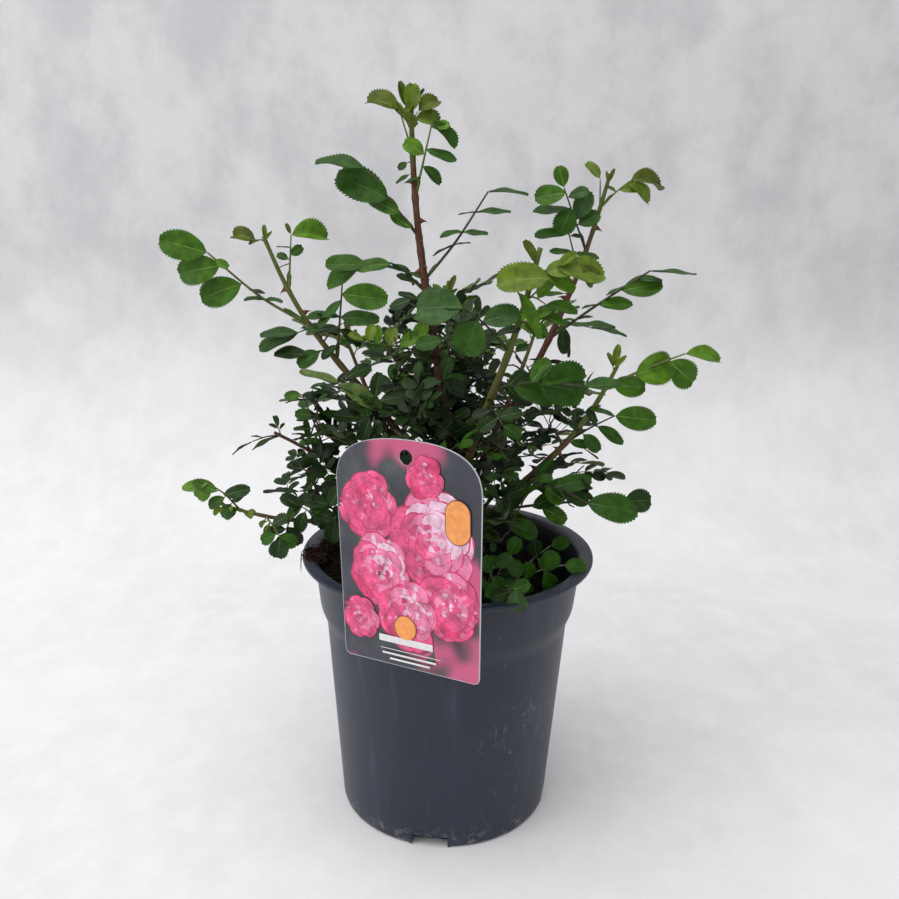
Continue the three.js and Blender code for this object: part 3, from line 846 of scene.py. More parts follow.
def lozenge(x, y, across, tall, level):
    """A rounded lozenge, or a disc where across and tall are the same."""
    angles = round_angles(40)
    points = spokes(angles) * across / 2
    points[:, 1] += np.sign(np.sin(angles)) * (tall - across) / 2
    return raised(points + (x, y), level), [tuple(range(40))]


def make_label_marks(place, level):
    """Plain marks over the print, where a label has its badges and words."""
    badges, rims, words = Batch(), Batch(), Batch()
    for x, y, across, tall in BADGES:
        for batch, border, lift in ((rims, 1, 0.04), (badges, 0, 0.08)):
            points, face = lozenge(x, y, across + border, tall + border, level + lift)
            batch.add(place.world(points), face)
    for x, y, width, height in RULES:
        corners = [(x, y), (x + width, y), (x + width, y + height), (x, y + height)]
        words.add(place.world([(*corner, level + 0.06) for corner in corners]), [(0, 1, 2, 3)])
    for batch, name, ink, rgb, contrast in (
            (badges, "label_badges", "badge_orange", (240, 156, 84), 0.06),
            (rims, "label_badge_rims", "badge_edge", (120, 66, 58), 0.06),
            (words, "label_rules", "rule_white", (226, 224, 224), 0.04)):
        batch.piece(name, print_ink(ink, rgb, 300, contrast, 0.35), "label_card", smooth=False)


# ---------------------------------------------------------------- canes

# For each cane: how green it is (0 red-brown, 1 green) at places from its foot to its tip, how many prickles
# are strewn on it, and the long prickles that stand out on its outline, each with its place and azimuth.
CANE_LOOKS = {
    "cane_tall": (((0, 0.05), (0.5, 0.2), (0.66, 0.24), (0.76, 0.34), (0.85, 0.4), (0.89, 0.8), (1, 1)), 7,
                  ((0.835, 180), (0.755, -8), (0.655, 184))),
    "cane_left": (((0, 0.05), (0.45, 0.3), (0.6, 0.5), (0.75, 0.66), (1, 0.95)), 6,
                  ((0.865, 176), (0.79, 20), (0.58, 190))),
    "cane_front": (((0, 0.3), (0.3, 0.5), (0.55, 0.66), (0.8, 0.9), (1, 1)), 4, ()),
    "cane_right": (((0, 0.05), (0.5, 0.2), (0.72, 0.32), (0.84, 0.6), (1, 0.95)), 6,
                   ((0.88, 0), (0.70, 182))),
    "cane_low_right": (((0, 0.1), (0.5, 0.38), (0.66, 0.56), (0.8, 0.8), (1, 0.95)), 6,
                       ((0.62, 0), (0.52, 170))),
    "cane_low_left": (((0, 0.1), (0.8, 0.42), (0.92, 0.8), (1, 0.95)), 5, ()),
    "cane_side_left": (((0, 0.0), (0.8, 0.12), (1, 0.2)), 5, ()),
    "cane_back": (((0, 0.05), (0.7, 0.4), (0.86, 0.6), (1, 0.95)), 6, ()),
    "cane_back_left": (((0, 0.05), (0.85, 0.2), (0.95, 0.5), (1, 0.9)), 6, ()),
    "cane_back_right": (((0, 0.05), (0.7, 0.4), (0.86, 0.6), (1, 0.95)), 6, ()),
}
LONG_PRICKLE = 4.6
CANE_FOOT = SOIL["height"] + 8.0
CROWN_FOOT, CROWN_TOP = 147.0, 181.0


class Cane:
    """A cane's centre line and thickness, read from its CAD limb."""

    def __init__(self, node):
        corners = unique_vertices(node)
        hub = UP * CANE_FOOT
        tip = corners[np.argmax(np.linalg.norm(corners - hub, axis=1))]
        along = (corners - hub) @ unit(tip - hub)
        order = np.argsort(along)
        breaks = np.where(np.diff(along[order]) > 5)[0] + 1
        rings = np.split(corners[order], breaks)[1:]
        centres = [ring.mean(axis=0) for ring in rings]
        radii = [np.linalg.norm(ring - ring.mean(axis=0), axis=1).max() for ring in rings]
        foot = heading(azimuth_of(tip)) * 6 + hub
        self.node = node
        self.path, self.t = smooth_path([foot] + centres, 2.0)
        spans = np.linalg.norm(np.diff(np.array([foot] + centres), axis=0), axis=1)
        marks = np.concatenate(([0], np.cumsum(spans))) / spans.sum()
        self.radii = np.interp(self.t, marks, [radii[0] * 1.08] + radii)
        self.ways = directions(self.path)
        self.length = np.linalg.norm(np.diff(self.path, axis=0), axis=1).sum()
        self.joints = []

    def nearest(self, points):
        """The index on the cane that is nearest to any of the points."""
        gaps = np.linalg.norm(self.path[:, None, :] - points[None], axis=2)
        return int(np.unravel_index(np.argmin(gaps), gaps.shape)[0])

    def at(self, t):
        return int(round(t * (len(self.path) - 1)))


def cane_material():
    """Young rose bark: red-brown on old wood, green towards the tips, with pale flecks along it."""
    shader = Shader("cane_bark", 0.5, 0.3)
    age = shader.node("ShaderNodeAttribute", attribute_name="ripeness")
    patchy = shader.times(shader.maths("SUBTRACT", shader.noise(95, 3), 0.5), 0.5)
    place = shader.maths("ADD", age.outputs["Fac"], patchy)
    base = shader.ramp(place, [(0.0, (44, 33, 24)), (0.26, (82, 44, 31)), (0.42, (82, 54, 34)),
                               (0.6, (92, 84, 46)), (0.8, (84, 96, 38)), (1.0, (88, 106, 36))])
    flecks = shader.steps(shader.noise(330, 3, 0.6, stretch=(1, 1, 0.3)), 0.56, 0.70)
    shader.colour(shader.mix(shader.times(flecks, 0.45), base, (112, 88, 62)))
    shader.bump(shader.noise(500, 4, 0.6, stretch=(1, 1, 0.35)), 0.4)
    return shader.material


def add_prickle(batch, root, outward, along, length):
    """A curved prickle, broad along the cane at its foot and hooked a little downwards."""
    count, sides = 7, 6
    path = bezier(root - outward * 0.6, root + outward * length * 0.4,
                  root + outward * length * 0.8 - along * length * 0.10,
                  root + outward * length - along * length * 0.42, count)
    angles = round_angles(sides)[:, None]
    sizes = np.array((1.0, 0.72, 0.5, 0.34, 0.22, 0.12, 0.03)) * length * 0.26
    across = np.cross(outward, along) * 0.8
    stretches = np.linspace(1.9, 1.0, count)
    rings = [point + np.cos(angles) * along * size * stretch + np.sin(angles) * across * size
             for point, size, stretch in zip(path, sizes, stretches)]
    batch.add(np.concatenate(rings), grid_faces(count, sides, closed=True))


def make_canes(canes):
    """Each cane's ridged, barked tube, swollen at its joints, and the prickles on it."""
    rng = np.random.default_rng(23)
    bark = cane_material()
    prickles = Batch()
    for cane in canes.values():
        ripe, strewn, long_ones = CANE_LOOKS[cane.node]
        sides, count = 16, len(cane.path)
        lumps = np.ones(count)
        marks = cane.t * cane.length
        old_joints = np.arange(24, cane.length - 20, 27)
        for joint in cane.joints + list(old_joints + rng.uniform(-5, 5, len(old_joints))):
            lumps += 0.13 * np.exp(-((marks - joint) / 2.4) ** 2)
        seed = len(cane.node)
        relief = np.array([[lumps[i] * (1 + 0.055 * noise.noise(Vector((k * 0.9, i * 0.16, seed))))
                            for k in range(sides)] for i in range(count)])
        ripeness = np.interp(cane.t, *zip(*ripe))
        batch = Batch()
        add_tube(batch, cane.path, cane.radii * 0.97, sides, relief, ripeness)
        batch.piece(cane.node.replace("cane_", "stem_"), bark, "cane_bark", [cane.node], "ripeness")
        places = [(t, azimuth, LONG_PRICKLE) for t, azimuth in long_ones]
        for k in range(strewn):
            t = 0.22 + 0.68 * (k + rng.uniform(0.1, 0.9)) / strewn
            places.append((t, rng.uniform(0, 360), rng.uniform(2.6, 4.4) * (1.05 - 0.35 * t)))
        for t, azimuth, length in places:
            i = cane.at(t)
            spoke = square_to(heading(azimuth), cane.ways[i])
            add_prickle(prickles, cane.path[i] + spoke * cane.radii[i], spoke, cane.ways[i], length)
    prickles.piece("prickles", mottled("prickle_red", (94, 44, 32), 0.45, 0.4, 400, 0.3, 0.1), "cane_bark")


def make_crown():
    """The knobbly root crown, with flaking old bark."""
    count, sides = 26, 40
    heights = np.linspace(CROWN_FOOT, CROWN_TOP, count)
    path = np.outer(heights, UP)
    part = (heights - CROWN_FOOT) / (CROWN_TOP - CROWN_FOOT)
    radii = np.interp(part, (0, 0.4, 0.8, 1), (15, 13, 10, 5.5))
    relief = np.array([[1 + 0.10 * noise.fractal(Vector((math.cos(a), math.sin(a), i / 9)) * 2.3, 0.8, 2, 4)
                        + 0.05 * math.sin(5 * a) for a in round_angles(sides)] for i in range(count)])
    batch = Batch()
    add_tube(batch, path, radii, sides, relief)
    shader = Shader("old_bark", 0.85, 0.2)
    grain = shader.noise(210, 5, 0.7, stretch=(1, 1, 0.35))
    shader.colour(shader.ramp(grain, [(0.3, (45, 34, 27)), (0.55, (84, 63, 47)), (0.75, (118, 96, 76))]))
    shader.bump(grain, 0.9)
    batch.piece("rootstock", shader.material, "old_bark", ["root_crown"])


# ---------------------------------------------------------------- leaves

# The colour of each kind of leaf above and below, and how glossy it is. Some tints hold painted light or
# shade, as told above each.
TINTS = {
    # This tint is partly the older leaves' own dark green and partly painted shade, for leaves in the crown's
    # middle and under others.
    "deep": ((32, 56, 18), (62, 78, 50), 0.45),
    # This tint is the leaf green darkened as painted shade, for leaves deep in the crown or held edge-on
    # under others.
    "dusk": ((30, 44, 24), (60, 70, 54), 0.48),
    "green": ((58, 96, 16), (104, 126, 78), 0.42),
    "leaf": ((42, 78, 14), (90, 110, 70), 0.42),
    # This tint is the leaf green made greyer and bluer: a painted sky reflection on glossy leaves.
    "blue": ((54, 84, 38), (94, 106, 88), 0.48),
    "fresh": ((82, 122, 24), (126, 146, 74), 0.42),
    # This tint is the young leaves' own yellow-green, lightened as painted light for light shining through
    # them.
    "young": ((94, 116, 32), (124, 138, 66), 0.45),
    "pale": ((98, 118, 62), (108, 122, 80), 0.5),
    "bronze": ((80, 93, 24), (102, 110, 50), 0.45),
    "low": ((44, 88, 8), (84, 106, 54), 0.48),
}
tops = {tint: Batch() for tint in TINTS}
undersides = {tint: Batch() for tint in TINTS}
stalks = {name: Batch() for name in ("dark", "green", "pale")}
veins = {name: Batch() for name in ("dim", "bright")}
twigs = Batch()
FRONT = np.array((0.0, -1.0, 0.0))


class Look:
    """How a leaf is made: its leaflets' shape and hold, the angle they spread at, and its stalk."""
    tint, breadth, blunt, teeth, columns = "green", 0.62, 0.72, 11, 7
    fold, curl, cup, spread, jitter = 0.16, 0.25, 0.14, 58, 0.10
    stalk, stem, petiole = "dark", 0.5, 0.42

    def __init__(self, **settings):
        for name, value in settings.items():
            setattr(self, name, value)


def leaf_stations(teeth, blunt):
    """How far along the midrib each row lies, and the leaflet's half width there, with its teeth."""
    if teeth:
        rows = [0.0]
        for k in range(teeth):
            rows += [(k + 0.66) / teeth * 0.985, (k + 1.0) / teeth * 0.985]
        s = np.array(rows + [1.0])
    else:
        s = np.array((0.0, 0.08, 0.22, 0.4, 0.58, 0.76, 0.9, 1.0))
    a, b = 0.58, 0.5 + 0.4 * (1 - blunt)
    peak = (a / (a + b)) ** a * (b / (a + b)) ** b
    width = (s**a * (1 - s) ** b) / peak
    if teeth:
        width[1:-1:2] *= 1.05
        width[2:-1:2] *= 0.92
    return s, np.maximum(width, 0.03)


def add_leaflet(base, along, normal, length, look, rng, tint=None):
    """One leaflet as an upper and a lower skin, folded along its midrib and curved towards its tip."""
    tint = tint or look.tint
    s, width = leaf_stations(look.teeth, look.blunt)
    u = np.linspace(-1, 1, look.columns)
    half = length * look.breadth * width[:, None] / 2
    bend = look.curl + rng.normal() * 0.10
    bend = bend if abs(bend) > 0.02 else 0.02
    turn = bend * s[:, None]
    fold = look.fold + rng.normal() * 0.06
    side, lift = half * u * math.cos(fold), half * np.abs(u) * math.sin(fold)
    out = length / bend * np.sin(turn) + 0.22 * half * np.abs(u)
    if look.teeth:
        tooth = np.where(np.arange(len(s)) % 2 == 1, 1.0, 0.0)[:, None]
        tooth[-1] = 0.0
        swell = np.sin(np.pi * np.clip(np.abs(u), 0, 1))
        lift = lift + (1 - 2 * tooth) * swell * length * 0.006 - length * 0.016 * (np.abs(u) < 0.05)
        lift = lift + 0.022 * length * np.sin(s[:, None] * 9 + u * 2 + rng.uniform(0, 6)) * u**2
        out = out + tooth * (np.abs(u) > 0.95) * length * 0.3 / look.teeth
    down = -length / bend * (1 - np.cos(turn))
    x, z = out + lift * np.sin(turn), down + lift * np.cos(turn)
    along = unit(along)
    normal = square_to(normal, along)
    across = np.cross(normal, along)
    grid = base + x[..., None] * along + side[..., None] * across + z[..., None] * normal
    rows, columns = len(s), look.columns
    faces = grid_faces(rows, columns)
    tops[tint].add(grid.reshape(-1, 3), faces)
    skin = np.cos(turn)[..., None] * normal + np.sin(turn)[..., None] * along
    below = grid - 0.2 * skin
    undersides[tint].add(below.reshape(-1, 3), faces[:, ::-1])
    if look.teeth:
        add_midrib(grid, below, skin[:, 0], across, tint)


def add_midrib(grid, below, skin, across, tint):
    """The pale midrib, a fine line above and a raised cord below."""
    middle, count = grid.shape[1] // 2, len(grid) - 2
    taper = np.linspace(1.0, 0.25, count)[:, None]
    # The darker tints, the painted-shade ones among them, take the dimmer midrib, so it is dimmed with them.
    kind = "dim" if tint in ("deep", "dusk", "low", "blue", "leaf") else "bright"
    spine = grid[:count, middle] + skin[:count] * 0.07
    strip = np.stack((spine - across * 0.20 * taper, spine + across * 0.20 * taper), 1)
    veins[kind].add(strip.reshape(-1, 3), grid_faces(count, 2))
    cord = below[:count, middle] - skin[:count] * 0.22 * taper
    left, right = below[:count, middle] - across * 0.26 * taper, below[:count, middle] + across * 0.26 * taper
    ridge = np.stack((left, cord, right), 1)
    veins[kind].add(ridge.reshape(-1, 3), grid_faces(count, 3)[:, ::-1])


def compound_leaf(root, tip, normal, pairs, end, look, rng, tints=None):
    """A leaf on a stalk from root towards tip: two leaflets for each length in pairs, and one at the end."""
    reach = np.linalg.norm(tip - root)
    axis = unit(tip - root)
    normal = square_to(normal, axis)
    across = np.cross(normal, axis)
    stalk_end = tip - axis * end * 0.97
    middle = (root + stalk_end) / 2 + normal * reach * 0.05 + across * rng.normal() * reach * 0.02
    path, t = smooth_path([root, middle, stalk_end], max(1.5, reach / 12))
    radii = look.stem * (1.15 - 0.55 * t)
    add_tube(stalks[look.stalk], path, radii, 5 if look.teeth else 4)
    ways = directions(path)
    spots = np.linspace(look.petiole, 0.90, len(pairs)) if len(pairs) > 1 else [max(look.petiole, 0.62)]
    for order, (spot, length) in enumerate(zip(spots, pairs)):
        for side in (-1, 1):
            place = spot + side * 0.012 + rng.normal() * 0.008
            i = min(len(path) - 1, int(round(place * (len(path) - 1))))
            spread = math.radians(look.spread + rng.normal() * 6)
            way = ways[i] * math.cos(spread) + side * across * math.sin(spread) + normal * look.cup
            way = unit(way + rng.normal(size=3) * look.jitter)
            face = normal - side * across * (look.cup + 0.05) + rng.normal(size=3) * look.jitter * 1.3
            size = length * rng.uniform(0.92, 1.07)
            tint = tints[order % len(tints)] if tints else None
            add_leaflet(path[i] + way * 0.7, way, face, size, look, rng, tint)
    tint = tints[len(pairs) % len(tints)] if tints else None
    way = unit(axis + rng.normal(size=3) * 0.04)
    add_leaflet(stalk_end, way, normal, end, look, rng, tint)


def add_stipules(root, way, normal, size, kind):
    """The pair of narrow wings along the foot of a leaf's stalk, with free pointed ears."""
    across = np.cross(normal, way)
    for side in (-1, 1):
        t = np.linspace(0, 1, 6)
        inner = root + np.outer(t, way) * size
        width = size * np.array((0.03, 0.13, 0.15, 0.16, 0.17, 0.02))
        outer = inner + side * np.outer(width, across) + np.outer(t**3, way) * size * 0.35
        outer = outer + np.outer(t, normal) * size * 0.12
        grid = np.stack((inner, outer), 1)
        faces = grid_faces(6, 2) if side < 0 else grid_faces(6, 2)[:, ::-1]
        tops[kind].add(grid.reshape(-1, 3), faces)
        below = grid - normal * 0.15
        undersides[kind].add(below.reshape(-1, 3), faces[:, ::-1])


# ---------------------------------------------------------------- the leaf sprays along the canes

# How a leaflet is held: its fold along the midrib and its curl from base to tip, in radians.
HELD = {"flat": (0.12, 0.22), "wavy": (0.22, 0.5), "fold": (0.62, 0.35), "hood": (0.42, 1.25),
        "arch": (0.25, 0.95)}


def set_leaf(end, bow, *leaflets, **settings):
    """A leaf given in full: its stalk's end from its root, how far the stalk bows upwards, and its leaflets.
    """
    return dict(end=end, bow=bow, leaflets=leaflets, **settings)


# A stalk's end is given as across, back and up. A leaflet has its place along the stalk, the way it points
# as seen from the front (0 to the right, 90 upwards), its length, its breadth over its length, how far its
# face is turned from upwards (0) to the front (90), its tint, and how it is held where that isn't flat.
# A leaf may also say where it leaves its cane (at) and how long its stipules are (wings).
FRONT_LEAVES = {
    "spray_tall_left": set_leaf((-31, -14, 40), 0, (1, 163, 31, 0.5, 26, "leaf", "wavy"),
        (0.6, 153, 36, 0.58, 64, "leaf", "wavy"), (0.36, 150, 21, 0.58, 58, "green", "wavy"),
        (0.16, 143, 15, 0.52, 56, "green"), at=0.72),
    "spray_tall_right": set_leaf((38, -4, 54), -3, (1, 6, 24, 0.42, 9, "leaf", "wavy"),
        (0.8, 1, 21, 0.42, 13, "leaf"), (0.8, 178, 10, 0.3, 3, "dusk"), (0.6, -4, 15, 0.48, 24, "leaf"),
        (0.6, 184, 14, 0.5, 26, "leaf", "wavy"), (0.45, 15, 10, 0.4, 8, "blue"),
        (0.45, 201, 14, 0.4, 8, "deep")),
    "spray_tall_upper": set_leaf((10, -3, 44), 0, (1, -44, 20, 0.62, 42, "leaf", "fold"),
        (0.95, 14, 11, 0.62, 60, "fresh"), (0.66, -14, 19, 0.42, 46, "leaf"),
        (0.6, 146, 14, 0.78, 70, "fresh", "wavy"), (0.42, -33, 16, 0.48, 56, "leaf", "arch"),
        (0.3, 200, 8, 0.5, 30, "leaf"), at=0.8),
    "spray_tall_back": set_leaf((-41, 8, 16), 9, (1, 204, 27, 0.52, 50, "green", "wavy"),
        (0.9, 176, 25, 0.62, 44, "green"), (0.62, 186, 22, 0.56, 40, "green"),
        (0.62, -24, 20, 0.36, 16, "blue", "arch"), (0.38, 166, 16, 0.4, 12, "blue"),
        (0.38, -8, 16, 0.4, 14, "blue"), (0.2, 160, 12, 0.55, 22, "deep")),
    "spray_left_far": set_leaf((-55, -24, 45), -4, (1, 170, 29, 0.62, 76, "green"),
        (0.87, 194, 27, 0.68, 82, "green"), (0.9, -28, 9, 0.7, 70, "fresh", "fold"),
        (0.64, 198, 26, 0.72, 82, "green"), (0.56, -12, 9, 0.5, 16, "dusk"),
        (0.4, 174, 12, 0.5, 22, "leaf", "wavy"), (0.4, 6, 11, 0.5, 20, "leaf", "wavy"), at=0.76, wings=14),
    "spray_left_upright": set_leaf((3, -4, 34), 0, (1, 12, 24, 0.7, 52, "fresh", "hood"),
        (0.98, 112, 7, 0.5, 50, "bronze", "fold"), (0.82, 174, 8, 0.34, 4, "blue"),
        (0.62, 32, 9, 0.74, 76, "leaf"), (0.6, 158, 8, 0.64, 60, "leaf", "wavy"),
        (0.52, 190, 7, 0.3, 4, "dusk")),
    "spray_left_tuft": set_leaf((-6, -1, 1), 1, (1, 156, 17, 0.66, 50, "bronze", "hood"),
        (0.6, 200, 7, 0.5, 50, "bronze", "fold"), at=0.985),
    "spray_left_inner": set_leaf((5, -8, 50), 0, (1, 112, 6, 0.4, 54, "leaf"),
        (0.86, -6, 28, 0.6, 74, "green"), (0.8, 226, 22, 0.34, 36, "leaf"), (0.6, 0, 24, 0.5, 38, "leaf"),
        (0.6, 176, 21, 0.46, 22, "leaf", "wavy"), (0.56, 172, 14, 0.26, 2, "dusk"),
        (0.43, 176, 20, 0.48, 24, "blue"), (0.43, -34, 17, 0.5, 40, "deep"),
        (0.22, 222, 13, 0.56, 44, "deep"), (0.2, 12, 17, 0.42, 22, "leaf")),
    "spray_left_under": set_leaf((-8, -2, -3), 0, (1, 200, 27, 0.52, 34, "leaf"),
        (0.9, 182, 24, 0.44, 26, "blue"), (0.2, 4, 20, 0.44, 26, "blue"), at=0.75),
    "spray_side_left_tip": set_leaf((-17, -6, -3), 1, (1, 205, 16, 0.24, 4, "dusk"),
        (0.55, 168, 8, 0.34, 4, "deep"), (0.02, 196, 21, 0.32, 10, "deep")),
    "spray_side_left_up": set_leaf((-15, -6, 46), 2, (1, 186, 11, 0.64, 70, "green"),
        (0.9, 24, 13, 0.48, 36, "deep"), (0.94, 176, 12, 0.28, 3, "dusk"), (0.7, -14, 9, 0.56, 50, "leaf"),
        (0.66, 182, 10, 0.46, 18, "deep"), (0.45, 252, 12, 0.3, 24, "leaf"),
        (0.45, 10, 12, 0.42, 14, "deep"), at=0.72),
    "spray_low_left_tip": set_leaf((-17, -8, 20), 2, (1, 188, 17, 0.46, 44, "fresh"),
        (0.95, 220, 14, 0.76, 80, "fresh"), (0.74, 156, 16, 0.52, 52, "green"),
        (0.54, 20, 17, 0.52, 54, "deep"), (0.52, 205, 13, 0.62, 60, "leaf"),
        (0.3, 236, 13, 0.7, 66, "leaf"), (0.28, 50, 11, 0.6, 40, "leaf"),
        (0.08, 214, 9, 0.62, 60, "green")),
    "spray_low_left_hang": set_leaf((12, -16, -8), 1, (1, 262, 14, 0.9, 84, "deep"),
        (0.95, 330, 12, 0.8, 66, "low"), (0.8, 206, 11, 0.78, 60, "low"), (0.4, 30, 12, 0.7, 40, "deep"),
        (0.36, 228, 6, 0.6, 60, "young", "fold"), (0.3, 262, 6, 0.5, 60, "young", "fold"),
        (0.2, 200, 6, 0.6, 50, "young", "fold"), (0.1, 240, 7, 0.5, 50, "fresh", "fold")),
    "spray_front_left": set_leaf((-27, -18, 28), 2, (1, 180, 27, 0.86, 64, "blue", "wavy"),
        (0.9, 168, 12, 0.4, 10, "leaf"), (0.62, 22, 22, 0.66, 52, "blue", "wavy"),
        (0.74, 250, 21, 0.94, 64, "leaf"), (0.36, 16, 15, 0.52, 22, "deep"),
        (0.34, 206, 15, 0.6, 40, "deep")),
    "spray_front_low": set_leaf((9, -30, 0), 5, (1, -36, 13, 0.68, 62, "leaf"),
        (0.75, 14, 14, 0.6, 44, "deep"), (0.75, 216, 13, 0.66, 56, "deep"), (0.4, -20, 13, 0.6, 40, "leaf"),
        (0.4, 196, 12, 0.6, 34, "dusk")),
    "spray_front_right": set_leaf((47, -36, 10), 3, (1, 2, 21, 0.5, 34, "leaf"),
        (0.52, 16, 28, 0.64, 48, "leaf", "fold"), (0.5, -10, 28, 0.76, 72, "leaf"),
        (0.18, -8, 27, 0.66, 58, "leaf"), (0.14, -42, 12, 0.72, 60, "deep"),
        (0.4, 62, 17, 0.62, 44, "green"), (0.16, 48, 14, 0.6, 30, "deep")),
    "spray_right_inner": set_leaf((-17, -10, 39), 0, (1, 104, 13, 0.74, 78, "green"),
        (0.9, 190, 19, 0.74, 64, "green"), (0.66, 176, 24, 0.5, 24, "leaf"),
        (0.74, 250, 17, 0.88, 70, "leaf"), (0.52, 70, 19, 0.66, 60, "blue"),
        (0.44, 32, 15, 0.72, 58, "leaf"), (0.86, 20, 13, 0.7, 50, "leaf"), at=0.82),
    "spray_right_tuft": set_leaf((17, -4, 17), 1, (1, 12, 25, 0.62, 42, "bronze", "hood"),
        (0.92, -26, 20, 0.56, 50, "young", "arch"), (0.62, 12, 14, 0.62, 52, "young", "wavy"),
        (0.6, 150, 7, 0.5, 40, "bronze", "fold"), at=0.92, wings=8),
    "spray_right_far": set_leaf((59, -16, 46), 1, (1, 1, 28, 0.4, 10, "blue"),
        (0.74, 14, 26, 0.56, 68, "green"), (0.84, 6, 16, 0.44, 14, "blue"),
        (0.78, 206, 14, 0.36, 12, "blue"), (0.5, 6, 21, 0.5, 42, "green"), (0.48, 184, 10, 0.4, 12, "blue"),
        (0.28, 182, 14, 0.36, 12, "blue"), (0.28, 16, 10, 0.44, 12, "leaf")),
    "spray_right_under": set_leaf((26, 16, 0), 3, (1, -2, 25, 0.42, 14, "blue"),
        (0.75, 4, 23, 0.4, 14, "blue"), (0.72, 172, 13, 0.4, 12, "blue"), (0.4, 4, 21, 0.4, 12, "blue"),
        (0.22, 278, 17, 0.5, 42, "deep"), (0.3, 288, 21, 0.26, 20, "deep")),
    "spray_low_right_far": set_leaf((42, -10, 22), 1, (1, 6, 25, 0.44, 40, "fresh", "arch"),
        (0.76, -36, 20, 0.86, 78, "green"), (0.38, 18, 24, 0.84, 80, "fresh", "wavy"),
        (0.06, -6, 20, 0.66, 78, "green")),
    "spray_low_right_mid": set_leaf((27, -10, 20), 1, (1, -3, 25, 0.6, 76, "green"),
        (0.97, 160, 15, 0.46, 18, "leaf"), (0.64, -25, 20, 0.42, 48, "leaf"),
        (0.64, 118, 11, 0.5, 40, "deep"), (0.36, -42, 15, 0.6, 66, "leaf"),
        (0.34, 140, 10, 0.5, 30, "deep"), (0.1, -8, 12, 0.54, 54, "leaf"),
        (0.14, -40, 20, 0.14, 4, "dusk")),
    "spray_low_right_low": set_leaf((34, -30, -4), 3, (1, -8, 32, 0.58, 58, "leaf"),
        (0.44, 12, 24, 0.48, 52, "leaf"), (0.5, -22, 21, 0.54, 46, "deep"),
        (0.1, -18, 20, 0.54, 44, "leaf"), (0.32, -38, 17, 0.7, 60, "green"),
        (0.06, 214, 17, 0.88, 58, "leaf")),
}

